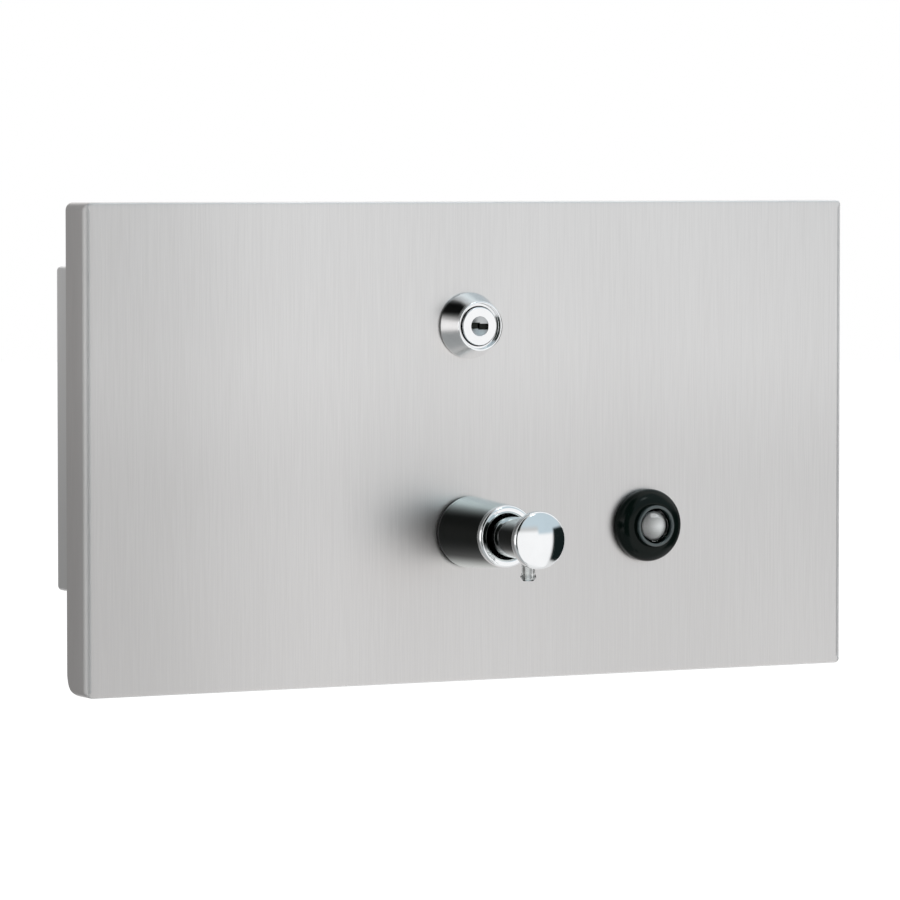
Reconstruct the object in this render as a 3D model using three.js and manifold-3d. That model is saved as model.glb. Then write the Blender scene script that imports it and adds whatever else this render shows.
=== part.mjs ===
// A recessed soap dispenser: a folded wall box, and a satin front panel that tilts out on a
// continuous hinge with the soap tank, push valve, sight glass and cam lock on its back.
// Millimetres, +Z up, -Y to the front. The origin is the centre of the wall box's flat back.

import * as THREE from 'three';
import { mergeVertices } from 'three/addons/utils/BufferGeometryUtils.js';
import Module from 'manifold-3d';

const wasm = await Module();
wasm.setup();

// Shared sizes
const sheet = 1.2; // stainless sheet of the panel and the wall box
const fit = 0.3; // gap between pieces that seat on each other
const overrun = 1; // how far a cutting tool runs past the face that it cuts
const weld = 0.0001; // vertices closer than this are one

// Wall box
const boxWidth = 193;
const boxHeight = 98;
const boxBackGap = 11.8; // from the tank's rear wall to the box's back, for the tilt
const boxEdge = 1.3; // rounding of the rear edges
const boxCorner = 1.5; // rounding of the corners seen from the front
const flangeShare = 0.66; // the wall flange's reach as a share of the way to the panel's edge
const flangeFootShare = 0.711; // the same below the box
const flangeCorner = 4;
const anchorHole = 2.6; // radius of the screw holes in the box's sides
const anchorBack = 50; // the screw holes' distance from the back
const anchorRise = 28; // and above and below the middle

// Front panel
const panelWidth = 254;
const panelHeight = 142;
const panelReturn = 13.4; // depth of the folded edges
const panelBend = 2; // outer radius of the folds
const panelCorner = 2.3; // corner radius seen from the front
const panelFoot = 6.5; // rounding of the side returns' lower rear corners
const panelDrop = 2.25; // panel's middle below the box's middle
const wallGap = 0.6; // gap from the returns to the wall
const hingeReturn = 11; // the bottom return is shorter, so that it clears the wall

// Continuous hinge
const hingeLength = 226;
const knuckleCount = 11;
const knuckleRadius = 2;
const knuckleGap = 0.4;
const leafSheet = 1;
const pinRadius = 1;
const leafMargin = 2.25; // from the fixed leaf's top edge to the box's opening
const panelLeafDepth = 8.4;
const tiltLimit = THREE.MathUtils.degToRad(35);

// Latch keeper in the box's ceiling
const keeperWidth = 40;
const keeperSetback = 1.3; // from the wall's face to the lip
const keeperLeg = 20;
const keeperLip = 5.45; // how far the lip hangs down

// Cam lock
const lockX = -2.9;
const lockDrop = 15.75; // below the box's ceiling
const collarRadius = 9.77;
const collarRim = 7.35;
const collarProud = 7.5;
const collarFoot = 0.6; // straight edge at the collar's base
const collarLip = 0.35; // rounding of the rim
const collarGroove = 1.3; // depth of the dark groove round the plug
const grooveRadius = 6.7;
const barrelRadius = 7.5;
const barrelLength = 16.5; // behind the panel's front face
const plugRadius = 5.7;
const plugRecess = 0.4; // plug's face behind the collar's rim
const plugTail = 0.5; // round part of the plug behind the barrel
const tailSide = 7; // square that carries the cam
const keyDimple = 2.85;
const keyDimpleDepth = 0.6;
const keyWidth = 5.6;
const keyHeight = 1.9;
const keyDepth = 6;
const keyStep = 0.5; // the keyway's right half sits lower
const lockNutRadius = 11.5;
const lockNutThick = 4;
const camSheet = 2;
const camReach = 12.5;
const camHalfWidth = 6.5;
const camScrewRadius = 2.5;
const camScrewHead = 4.5;
const camScrewHeadThick = 3;
const camScrewLength = 8;

// Tank
const tankWidth = 176;
const tankWall = 1;
const tankFloorGap = 3.55; // from the tank's floor to the box's floor
const tankCorner = 6;
const tankEdge = 3; // rounding of the floor's edges
const earReach = 12; // mounting ears beside the tank
const earHeight = 46;
const earCorner = 4;
const studInset = 6; // from the ear's outer edge
const studSpread = 15; // above and below the ear's middle
const studRadius = 2;
const studLength = 8;
const studTip = 0.6;
const studNutRadius = 4.2;
const studNutThick = 3.2;

// Tank lid and filler
const lidLip = 5; // locating lip inside the tank
const stopReach = 6.5; // rear edge that meets the keeper when the panel is open
const fillerX = 45;
const neckRadius = 19;
const neckWall = 1.6;
const neckHeight = 7;
const lugReach = 1.5;
const lugHeight = 1.4;
const lugDrop = 1; // neck's lugs below its rim
const lugSpan = THREE.MathUtils.degToRad(42);
const capRadius = 23.2;
const capWall = 2;
const capHeight = 10;
const capLugHeight = 1.4;
const gripLength = 32;
const gripThick = 5;
const gripHeight = 4.5;
const capGasketThick = 1.2;
const capGasketInner = 15;

// Push valve
const valveX = -3.2;
const valveRise = 15.3; // above the tank's floor
const sleeveBase = 10.64;
const sleeveTip = 9.15;
const sleeveProud = 25;
const sleeveLip = 1.25; // rounding of the sleeve's end
const sleeveBore = 6.7;
const baseGasketThick = 0.8;
const baseGasketRadius = 10.4;
const bodyRadius = 8;
const bodyBore = 6.3;
const bodyProud = 16;
const bodyLength = 66;
const tankGasketThick = 1;
const tankGasketRadius = 11.5;
const locknutRadius = 12.5;
const locknutThick = 4;
const plungerRadius = 6;
const plungerRear = 18; // behind the panel's front face
const passageRadius = 1.5;
const sealWidth = 2;
const sealDepth = 1.1;
const sealInset = 2; // from the plunger's rear end
const sealProud = 0.15;
const knobRadius = 8.44;
const knobMiddle = 43.2; // proud of the panel
const knobRimThick = 1.6;
const knobDome = 2;
const knobBack = 2.2; // depth of the cone behind the rim
const knobBackRadius = 6.4;
const spigotRadius = 3;
const spigotLength = 4;
const nozzleProud = 37.2;
const nozzleRadius = 2;
const nozzleBore = 1.1;
const nozzleDrop = 12.2; // tip below the valve's axis
const nozzleBulge = 0.35;
const nozzleTip = 1.1;
const nozzleRoot = 3; // top of the nozzle below the axis

// Return spring
const springWire = 0.5;
const springRadius = 4.6;
const springTurns = 6;

// Valve inlet
const inletFlange = 5.4;
const inletBore = 1.8;
const ballRadius = 2.5;
const ballPocket = 2.9;
const ballTravel = 1.5;
const pocketLip = 1.3;
const pocketLipBore = 2;
const tubeRadius = 3.2;
const tubeBore = 2;
const tubeSocket = 3.7;
const tubeStraight = 9;
const tubeBend = 6;
const strainerRadius = 5.4;
const strainerWall = 1;
const strainerHeight = 7.5;
const strainerFloorGap = 0.6;
const strainerBackGap = 2.3; // to the tank's rear wall
const strainerSlot = 1;
const strainerSlotHeight = 4;
const strainerSlots = 3; // right through, so that each opens on both sides

// Sight glass
const sightX = 57.4;
const sightRise = 15.5; // above the tank's floor
const bezelRadius = 10.9;
const bezelFoot = 1.5;
const bezelRing = 6.2;
const bezelDome = 5.3; // height at which the dome meets the ring
const bezelProud = 7;
const bezelLip = 0.35;
const bezelTail = 7.5;
const bezelLength = 12; // behind the panel's front face
const lensRadius = 4.95;
const lensProud = 5.2;
const lensDome = 1.1;
const sightNutRadius = 11.5;
const sightNutThick = 4;
const sightGasketRadius = 11;

// Counts
const fineSides = 32;
const sides = 20;
const smallSides = 12;
const knuckleSides = 10;
const hexSides = 6;
const coilSteps = 8; // of the spring, in each turn
const tubeSteps = 14;
const tubeSides = 8;
const arcSteps = 3;
const domeSteps = 6;
const outlineSteps = 2; // half of the steps in each corner of an outline

// Along the valve, measured back from the panel's front face
const bodyBack = bodyLength - bodyProud;
const ballSeat = bodyBack + fit;
const ballMiddle = ballSeat - Math.sqrt(ballRadius ** 2 - inletBore ** 2) - fit;
const pocketFront = ballMiddle - ballRadius - ballTravel - fit;
const spigotFront = pocketFront - pocketLip;
const flangeBack = ballSeat + inletFlange;
const tubeStart = flangeBack - tubeSocket + fit;
const tubeCorner = tubeStart + tubeStraight;
const strainerMiddle = tubeCorner + tubeBend;

// The tank reaches past the valve's strainer, and the wall box past the tank
const tankBack = strainerMiddle + strainerRadius + strainerBackGap + tankWall;
const tankDepth = tankBack - sheet - fit;
const boxDepth = tankBack + boxBackGap + sheet - panelReturn - wallGap; // to the face of the wall

// Places worked out from the sizes
const wallFace = -boxDepth;
const panelRear = wallFace - wallGap;
const panelFront = panelRear - panelReturn;
const panelBottom = -panelDrop - panelHeight / 2;
const boxCeiling = boxHeight / 2 - sheet;
const boxFloor = sheet - boxHeight / 2;
const flangeFront = wallFace - sheet;
const panelTop = panelBottom + panelHeight;
const hingeY = flangeFront - fit - knuckleRadius;
const hingeZ = panelBottom + sheet + fit + knuckleRadius;
const leafTop = -boxHeight / 2 - leafMargin;
const lockZ = boxCeiling - lockDrop;
const panelBack = panelFront + sheet;
const tankFront = panelBack + fit;
const tankRear = tankFront + tankDepth;
const tankMiddle = (tankFront + tankRear) / 2;
const tankFloor = boxFloor + tankFloorGap;
const valveZ = tankFloor + valveRise;
const sightZ = tankFloor + sightRise;
const lipRear = wallFace + keeperSetback + sheet;
const lipBottom = boxCeiling - fit - keeperLip;
// The keeper's lower rear edge, turned back with the panel, is where the lid's top stops
const lipAheadOfAxis = lipRear - hingeY;
const lipAboveAxis = lipBottom - hingeZ;
const stopHeight = lipAboveAxis * Math.cos(tiltLimit) - lipAheadOfAxis * Math.sin(tiltLimit);
const lidTop = hingeZ + stopHeight - fit;
const lidUnder = lidTop - tankWall;
const tankTop = lidUnder - fit;

// Finishes
const satinSteel = new THREE.MeshStandardMaterial({ color: 0xc4c3c1, roughness: 0.38, metalness: 1 });
const plainSteel = new THREE.MeshStandardMaterial({ color: 0xa9a9a8, roughness: 0.45, metalness: 1 });
const chrome = new THREE.MeshStandardMaterial({ color: 0xe6e8ea, roughness: 0.08, metalness: 1 });
const brass = new THREE.MeshStandardMaterial({ color: 0xc9a558, roughness: 0.3, metalness: 1 });
const blackPlastic = new THREE.MeshStandardMaterial({ color: 0x0c0d0e, roughness: 0.15, metalness: 0 });
const whitePlastic = new THREE.MeshStandardMaterial({ color: 0xe4e3dd, roughness: 0.4, metalness: 0 });
const clearPlastic = new THREE.MeshStandardMaterial({ color: 0xdfe6e8, roughness: 0.05, metalness: 0 });
const rubber = new THREE.MeshStandardMaterial({ color: 0x151515, roughness: 0.8, metalness: 0 });

// Geometry helpers

function solid(geometry) {
  const bare = geometry.clone();
  bare.deleteAttribute('normal');
  bare.deleteAttribute('uv');
  const merged = mergeVertices(bare, weld);
  const kept = [];
  const index = merged.index.array;
  for (let i = 0; i < index.length; i += 3) {
    const [a, b, c] = [index[i], index[i + 1], index[i + 2]];
    if (a !== b && b !== c && c !== a) kept.push(a, b, c);
  }
  const vertProperties = new Float32Array(merged.attributes.position.array);
  return new wasm.Manifold(new wasm.Mesh({ numProp: 3, vertProperties, triVerts: new Uint32Array(kept) }));
}

function geometryOf(body) {
  const result = body.getMesh();
  const geometry = new THREE.BufferGeometry();
  geometry.setAttribute('position', new THREE.BufferAttribute(new Float32Array(result.vertProperties), 3));
  geometry.setIndex(new THREE.BufferAttribute(new Uint32Array(result.triVerts), 1));
  geometry.computeVertexNormals();
  return geometry;
}

function cut(base, tools) {
  return geometryOf(tools.reduce((body, tool) => body.subtract(solid(tool)), solid(base)));
}

function join(pieces) {
  const [first, ...others] = pieces;
  return geometryOf(others.reduce((body, piece) => body.add(solid(piece)), solid(first)));
}

function block(x0, x1, y0, y1, z0, z1) {
  const geometry = new THREE.BoxGeometry(x1 - x0, y1 - y0, z1 - z0);
  return geometry.translate((x0 + x1) / 2, (y0 + y1) / 2, (z0 + z1) / 2);
}

// A profile of [radius, height] points, run up the outside and down the bore, turned about Y
function turned(profile, count) {
  const points = profile.map(([radius, height]) => new THREE.Vector2(radius, height));
  const first = points[0];
  const last = points[points.length - 1];
  if (first.x !== 0 || last.x !== 0) points.push(first.clone());
  return new THREE.LatheGeometry(points, count);
}

function rod(radius, y0, y1, count) {
  return turned([[0, y0], [radius, y0], [radius, y1], [0, y1]], count);
}

function ring(outer, inner, y0, y1, count) {
  return turned([[outer, y0], [outer, y1], [inner, y1], [inner, y0]], count);
}

const aboutX = (geometry) => geometry.rotateZ(-Math.PI / 2);
const aboutZ = (geometry) => geometry.rotateX(Math.PI / 2);

// Points of a quarter of an ellipse, from one angle to another, for a profile
function arc(centreR, centreY, reachR, reachY, from, to, steps) {
  const points = [];
  for (let i = 0; i <= steps; i += 1) {
    const angle = from + ((to - from) * i) / steps;
    points.push([centreR + reachR * Math.cos(angle), centreY + reachY * Math.sin(angle)]);
  }
  return points;
}

function roundedOutline(x0, x1, z0, z1, radius) {
  const quarter = Math.PI / 2;
  const outline = new THREE.Shape();
  outline.absarc(x1 - radius, z1 - radius, radius, 0, quarter);
  outline.absarc(x0 + radius, z1 - radius, radius, quarter, 2 * quarter);
  outline.absarc(x0 + radius, z0 + radius, radius, 2 * quarter, 3 * quarter);
  outline.absarc(x1 - radius, z0 + radius, radius, 3 * quarter, 4 * quarter);
  return outline;
}

// An outline in X and Z, carried along Y, with its end edges rounded by edge
function alongY(outline, y0, y1, edge = 0) {
  const geometry = new THREE.ExtrudeGeometry(outline, {
    depth: y1 - y0 - 2 * edge,
    curveSegments: outlineSteps,
    bevelEnabled: edge > 0,
    bevelThickness: edge,
    bevelSize: edge,
    bevelOffset: -edge,
    bevelSegments: arcSteps,
  });
  return geometry.rotateX(Math.PI / 2).translate(0, y1 - edge, 0);
}

// An outline in Y and Z, carried along X
function alongX(outline, x0, x1) {
  const geometry = new THREE.ExtrudeGeometry(outline, {
    depth: x1 - x0,
    curveSegments: outlineSteps,
    bevelEnabled: false,
  });
  const turn = new THREE.Matrix4().makeBasis(
    new THREE.Vector3(0, 1, 0),
    new THREE.Vector3(0, 0, 1),
    new THREE.Vector3(1, 0, 0),
  );
  return geometry.applyMatrix4(turn).translate(x0, 0, 0);
}

// An outline in X and Y, carried along Z, with its end edges rounded by edge
function alongZ(outline, z0, z1, edge = 0) {
  const geometry = new THREE.ExtrudeGeometry(outline, {
    depth: z1 - z0 - 2 * edge,
    curveSegments: outlineSteps,
    bevelEnabled: edge > 0,
    bevelThickness: edge,
    bevelSize: edge,
    bevelOffset: -edge,
    bevelSegments: arcSteps,
  });
  return geometry.translate(0, 0, z0 + edge);
}

// A hexagon nut on Y, bored through
function nut(radius, bore, y0, y1, count = sides) {
  const hexagon = turned([[0, y0], [radius, y0], [radius, y1], [0, y1]], hexSides);
  return cut(hexagon, [rod(bore, y0 - overrun, y1 + overrun, count)]);
}

const part = new THREE.Group();

function place(name, geometry, material, x = 0, y = 0, z = 0) {
  const piece = new THREE.Mesh(geometry, material);
  piece.name = name;
  piece.position.set(x, y, z);
  part.add(piece);
}

// Wall box: a deep tray with a flange that lies on the wall

function makeWallBox() {
  const halfX = boxWidth / 2;
  const halfZ = boxHeight / 2;
  const front = flangeFront - overrun - boxEdge;
  const insideCorner = Math.max(boxCorner - sheet, 0);
  const insideEdge = Math.max(boxEdge - sheet, 0);
  const shell = alongY(roundedOutline(-halfX, halfX, -halfZ, halfZ, boxCorner), front, 0, boxEdge);
  const sideReach = flangeShare * (panelWidth / 2 - halfX);
  const topReach = flangeShare * (panelTop - halfZ);
  const footReach = flangeFootShare * (-halfZ - panelBottom);
  const flange = alongY(
    roundedOutline(
      -halfX - sideReach,
      halfX + sideReach,
      -halfZ - footReach,
      halfZ + topReach,
      flangeCorner,
    ),
    flangeFront,
    wallFace,
  );
  const inside = alongY(
    roundedOutline(sheet - halfX, halfX - sheet, sheet - halfZ, halfZ - sheet, insideCorner),
    front - overrun,
    -sheet,
    insideEdge,
  );
  const ahead = block(
    -halfX - overrun,
    halfX + overrun,
    front - overrun,
    flangeFront,
    -halfZ - overrun,
    halfZ + overrun,
  );
  const tools = [inside];
  for (const side of [-1, 1]) {
    for (const level of [-1, 1]) {
      const hole = aboutX(rod(anchorHole, -sheet - overrun, sheet + overrun, smallSides));
      tools.push(hole.translate(side * halfX, -anchorBack, level * anchorRise));
    }
  }
  const body = cut(shell, [ahead]);
  return cut(join([body, flange]), tools);
}

function makeKeeper() {
  const top = boxCeiling - fit;
  const front = wallFace + keeperSetback;
  const outline = new THREE.Shape();
  outline.moveTo(front, lipBottom);
  outline.lineTo(lipRear, lipBottom);
  outline.lineTo(lipRear, top - sheet);
  outline.lineTo(front + keeperLeg, top - sheet);
  outline.lineTo(front + keeperLeg, top);
  outline.lineTo(front + sheet, top);
  outline.absarc(front + sheet, top - sheet, sheet, Math.PI / 2, Math.PI);
  outline.closePath();
  return alongX(outline, lockX - keeperWidth / 2, lockX + keeperWidth / 2);
}

// Front panel: a shallow folded tray, open to the wall

function makeFrontPanel() {
  const halfX = panelWidth / 2;
  const past = panelRear + overrun + panelBend;
  const shell = alongY(
    roundedOutline(-halfX, halfX, panelBottom, panelTop, panelCorner),
    panelFront,
    past,
    panelBend,
  );
  const inside = alongY(
    roundedOutline(sheet - halfX, halfX - sheet, panelBottom + sheet, panelTop - sheet, panelCorner - sheet),
    panelBack,
    past + overrun,
    panelBend - sheet,
  );
  const behind = block(
    -halfX - overrun,
    halfX + overrun,
    panelRear,
    past + overrun,
    panelBottom - overrun,
    panelTop + overrun,
  );
  const lowReturn = block(
    sheet - halfX,
    halfX - sheet,
    panelFront + hingeReturn,
    past,
    panelBottom - overrun,
    panelBottom + sheet + overrun,
  );
  const tools = [inside, behind, lowReturn];
  for (const side of [-1, 1]) {
    const foot = new THREE.Shape();
    foot.moveTo(panelRear + overrun, panelBottom + panelFoot);
    foot.lineTo(panelRear, panelBottom + panelFoot);
    foot.absarc(panelRear - panelFoot, panelBottom + panelFoot, panelFoot, 0, -Math.PI / 2, true);
    foot.lineTo(panelRear - panelFoot, panelBottom - overrun);
    foot.lineTo(panelRear + overrun, panelBottom - overrun);
    foot.closePath();
    const inner = side * (halfX - sheet - fit);
    const outer = side * (halfX + overrun);
    tools.push(alongX(foot, Math.min(inner, outer), Math.max(inner, outer)));
  }
  const through = (radius, x, z) =>
    rod(radius + fit, panelFront - overrun, panelBack + overrun, sides).translate(x, 0, z);
  tools.push(through(barrelRadius, lockX, lockZ));
  tools.push(through(bodyRadius, valveX, valveZ));
  tools.push(through(bezelTail, sightX, sightZ));
  return cut(shell, tools);
}

// One leaf of the hinge: a plate, a tab and a barrel at every other knuckle, and the pin's bore.
// reach gives the block of plate or tab from the axis outwards, between two places along X.
function makeLeaf(first, reach, plateLength) {
  const pitch = hingeLength / knuckleCount;
  const clear = knuckleRadius + fit;
  const pieces = [reach(-hingeLength / 2, hingeLength / 2, clear, plateLength)];
  for (let i = first; i < knuckleCount; i += 2) {
    const x0 = -hingeLength / 2 + i * pitch + knuckleGap / 2;
    const x1 = x0 + pitch - knuckleGap;
    pieces.push(reach(x0, x1, 0, clear + overrun));
    pieces.push(aboutX(rod(knuckleRadius, x0, x1, knuckleSides)));
  }
  const boreEnd = hingeLength / 2 + overrun;
  const bore = aboutX(rod(pinRadius + fit, -boreEnd, boreEnd, knuckleSides));
  return cut(join(pieces), [bore]);
}

function makeHinge() {
  const near = knuckleRadius - leafSheet;
  const upward = (x0, x1, from, to) => block(x0, x1, near, knuckleRadius, from, to);
  const forward = (x0, x1, from, to) => block(x0, x1, -to, -from, -knuckleRadius, -near);
  place('hinge_leaf_fixed', makeLeaf(1, upward, leafTop - hingeZ), plainSteel, 0, hingeY, hingeZ);
  place('hinge_leaf_panel', makeLeaf(0, forward, panelLeafDepth), plainSteel, 0, hingeY, hingeZ);
  const pin = aboutX(rod(pinRadius, -hingeLength / 2, hingeLength / 2, knuckleSides));
  place('hinge_pin', pin, plainSteel, 0, hingeY, hingeZ);
}

// Cam lock, about Y at the lock's place, with heights measured back from the panel's front face

function makeLock() {
  const at = [lockX, panelFront, lockZ];
  const rim = -collarProud;
  const housing = turned(
    [
      [barrelRadius, -fit],
      [barrelRadius, barrelLength],
      [plugRadius + fit, barrelLength],
      [plugRadius + fit, rim + collarGroove],
      [grooveRadius, rim + collarGroove],
      [grooveRadius, rim],
      [collarRim - collarLip, rim],
      [collarRim, rim + collarLip],
      [collarRadius, -fit - collarFoot],
      [collarRadius, -fit],
    ],
    fineSides,
  );
  place('lock_housing', housing, chrome, ...at);

  const nutFront = sheet + fit;
  const lockNut = nut(lockNutRadius, barrelRadius + fit, nutFront, nutFront + lockNutThick);
  place('lock_nut', lockNut, plainSteel, ...at);

  const face = rim + plugRecess;
  const shoulder = barrelLength + plugTail;
  const camFront = shoulder + fit;
  const camBack = camFront + camSheet;
  const tailEnd = camBack + fit;
  const half = tailSide / 2;
  const tail = block(-half, half, shoulder - overrun, tailEnd, -half, half);
  const ahead = face - overrun;
  const keyEnd = face + keyDepth;
  const keyTools = [
    rod(keyDimple, ahead, face + keyDimpleDepth, fineSides),
    block(-keyWidth / 2, keyStep, ahead, keyEnd, -keyHeight / 2 + keyStep, keyHeight / 2),
    block(-keyStep, keyWidth / 2, ahead, keyEnd, -keyHeight / 2, keyHeight / 2 - keyStep),
    rod(camScrewRadius + fit, tailEnd - camScrewLength, tailEnd + overrun, smallSides),
  ];
  const plug = cut(join([rod(plugRadius, face, shoulder, fineSides), tail]), keyTools);
  place('lock_plug', plug, chrome, ...at);

  const camShape = new THREE.Shape();
  camShape.moveTo(0, camHalfWidth);
  camShape.lineTo(-camReach + camHalfWidth / 2, camHalfWidth);
  camShape.lineTo(-camReach, camHalfWidth / 2);
  camShape.lineTo(-camReach, -camHalfWidth / 2);
  camShape.lineTo(-camReach + camHalfWidth / 2, -camHalfWidth);
  camShape.lineTo(0, -camHalfWidth);
  camShape.absarc(0, 0, camHalfWidth, -Math.PI / 2, Math.PI / 2);
  const hole = half + fit;
  const square = block(-hole, hole, camFront - overrun, camBack + overrun, -hole, hole);
  place('lock_cam', cut(alongY(camShape, camFront, camBack), [square]), plainSteel, ...at);

  const headFront = tailEnd + fit;
  const screw = turned(
    [
      [0, headFront - camScrewLength + overrun],
      [camScrewRadius, headFront - camScrewLength + overrun],
      [camScrewRadius, headFront],
      [camScrewHead, headFront],
      [camScrewHead, headFront + camScrewHeadThick],
      [0, headFront + camScrewHeadThick],
    ],
    smallSides,
  );
  place('cam_screw', screw, plainSteel, ...at);
}

// Tank: an open-topped box with mounting ears in the plane of its front wall

function earMiddle() {
  return (tankFloor + tankTop) / 2;
}

function studPlaces() {
  const x = tankWidth / 2 + earReach - studInset;
  const middle = earMiddle();
  return {
    left_lower: [-x, middle - studSpread],
    left_upper: [-x, middle + studSpread],
    right_lower: [x, middle - studSpread],
    right_upper: [x, middle + studSpread],
  };
}

function makeTank() {
  const half = tankWidth / 2;
  const above = tankTop + overrun + tankEdge;
  const outline = roundedOutline(-half, half, tankFront, tankRear, tankCorner);
  const shell = alongZ(outline, tankFloor, above, tankEdge);
  const inside = alongZ(
    roundedOutline(
      tankWall - half,
      half - tankWall,
      tankFront + tankWall,
      tankRear - tankWall,
      tankCorner - tankWall,
    ),
    tankFloor + tankWall,
    above + overrun,
    tankEdge - tankWall,
  );
  const lid = block(
    -half - overrun,
    half + overrun,
    tankFront - overrun,
    tankRear + overrun,
    tankTop,
    above + overrun,
  );
  const earLow = earMiddle() - earHeight / 2;
  const ears = alongY(
    roundedOutline(-half - earReach, half + earReach, earLow, earLow + earHeight, earCorner),
    tankFront,
    tankFront + tankWall,
  );
  const tools = [];
  const through = (radius, x, z) =>
    rod(radius + fit, tankFront - overrun, tankFront + tankWall + overrun, sides).translate(x, 0, z);
  tools.push(through(bodyRadius, valveX, valveZ));
  tools.push(through(bezelTail, sightX, sightZ));
  for (const [x, z] of Object.values(studPlaces())) tools.push(through(studRadius, x, z));
  place('tank_body', cut(join([cut(shell, [lid, inside]), ears]), tools), plainSteel);

  for (const [name, [x, z]] of Object.entries(studPlaces())) {
    const end = fit + studLength;
    const stud = turned(
      [[0, fit], [studRadius, fit], [studRadius, end - studTip], [studRadius - studTip, end], [0, end]],
      smallSides,
    );
    place(`stud_${name}`, stud, plainSteel, x, panelBack, z);
    const seat = tankFront + tankWall + fit - panelBack;
    const studNut = nut(studNutRadius, studRadius + fit, seat, seat + studNutThick, smallSides);
    place(`stud_nut_${name}`, studNut, plainSteel, x, panelBack, z);
  }
}

// A piece of ring between two radii and two heights, over the given angle either side of X
function lug(outer, inner, z0, z1, facing) {
  const shape = new THREE.Shape();
  shape.absarc(0, 0, outer, facing - lugSpan / 2, facing + lugSpan / 2);
  shape.absarc(0, 0, inner, facing + lugSpan / 2, facing - lugSpan / 2, true);
  shape.closePath();
  return alongZ(shape, z0, z1);
}

function makeLid() {
  const half = tankWidth / 2;
  const lipCorner = tankCorner - tankWall - fit;
  const lipOutline = (inset) =>
    roundedOutline(inset - half, half - inset, tankFront + inset, tankRear - inset, lipCorner);
  const plate = alongZ(
    roundedOutline(-half, half, tankFront, tankRear + stopReach, tankCorner),
    lidUnder,
    lidTop,
  );
  const lip = alongZ(lipOutline(tankWall + fit), lidUnder - lidLip, lidTop);
  const lipInside = alongZ(lipOutline(tankWall + fit + tankWall), lidUnder - lidLip - overrun, lidUnder);
  const filler = (geometry) => aboutZ(geometry).translate(fillerX, tankMiddle, 0);
  const neck = filler(rod(neckRadius, lidUnder, lidTop + neckHeight, fineSides));
  const mouthEnd = lidTop + neckHeight + overrun;
  const mouth = filler(rod(neckRadius - neckWall, lidUnder - overrun, mouthEnd, fineSides));
  const lugTop = lidTop + neckHeight - lugDrop;
  const lugRoot = neckRadius - neckWall / 2;
  const pieces = [plate, lip, neck];
  for (const facing of [0, Math.PI]) {
    const neckLug = lug(neckRadius + lugReach, lugRoot, lugTop - lugHeight, lugTop, facing);
    pieces.push(neckLug.translate(fillerX, tankMiddle, 0));
  }
  place('tank_lid', cut(join(pieces), [lipInside, mouth]), plainSteel);
}

// Quarter-turn filler cap, with lugs that run under those of the neck
function makeCap() {
  const at = [fillerX, tankMiddle, lidTop];
  const inner = capRadius - capWall;
  const gasketTop = neckHeight + fit + capGasketThick;
  const roof = gasketTop + fit;
  const bottom = roof + capWall - capHeight;
  const shell = aboutZ(
    turned(
      [
        [0, roof],
        [inner, roof],
        [inner, bottom],
        [capRadius, bottom],
        [capRadius, roof + capWall / 2],
        [capRadius - capWall / 2, roof + capWall],
        [0, roof + capWall],
      ],
      fineSides,
    ),
  );
  const grip = block(
    -gripLength / 2,
    gripLength / 2,
    -gripThick / 2,
    gripThick / 2,
    roof + capWall / 2,
    roof + capWall + gripHeight,
  );
  const pieces = [shell, grip];
  const lugTop = neckHeight - lugDrop - lugHeight - fit;
  for (const facing of [0, Math.PI]) {
    pieces.push(lug(inner + capWall / 2, neckRadius + fit, lugTop - capLugHeight, lugTop, facing));
  }
  place('filler_cap', join(pieces), blackPlastic, ...at);
  const gasket = aboutZ(ring(neckRadius, capGasketInner, neckHeight + fit, gasketTop, sides));
  place('cap_gasket', gasket, rubber, ...at);
}

// Push valve, about Y at the valve's place, with heights measured back from the panel's front face

function makeValve() {
  const at = [valveX, panelFront, valveZ];
  const gasketFront = -fit - baseGasketThick;
  const baseGasket = ring(baseGasketRadius, bodyRadius + fit, gasketFront, -fit, fineSides);
  place('valve_gasket', baseGasket, rubber, ...at);

  const base = gasketFront - fit;
  const tip = -sleeveProud;
  const lip = (centre, from, to) => arc(centre, tip + sleeveLip, sleeveLip, sleeveLip, from, to, arcSteps);
  const sleeve = turned(
    [
      ...lip(sleeveTip - sleeveLip, -Math.PI / 2, 0),
      [sleeveBase, base],
      [bodyRadius + fit, base],
      [bodyRadius + fit, -bodyProud - fit],
      [sleeveBore, -bodyProud - fit],
      ...lip(sleeveBore + sleeveLip, -Math.PI, -Math.PI / 2),
    ],
    fineSides,
  );
  place('valve_sleeve', sleeve, chrome, ...at);

  place('valve_body', ring(bodyRadius, bodyBore, -bodyProud, bodyBack, sides), whitePlastic, ...at);

  const innerFront = tankFront + tankWall + fit - panelFront;
  const innerBack = innerFront + tankGasketThick;
  const innerGasket = ring(tankGasketRadius, bodyRadius + fit, innerFront, innerBack, sides);
  place('tank_gasket', innerGasket, rubber, ...at);
  const nutFront = innerBack + fit;
  const locknut = nut(locknutRadius, bodyRadius + fit, nutFront, nutFront + locknutThick);
  place('valve_locknut', locknut, brass, ...at);
}

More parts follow.
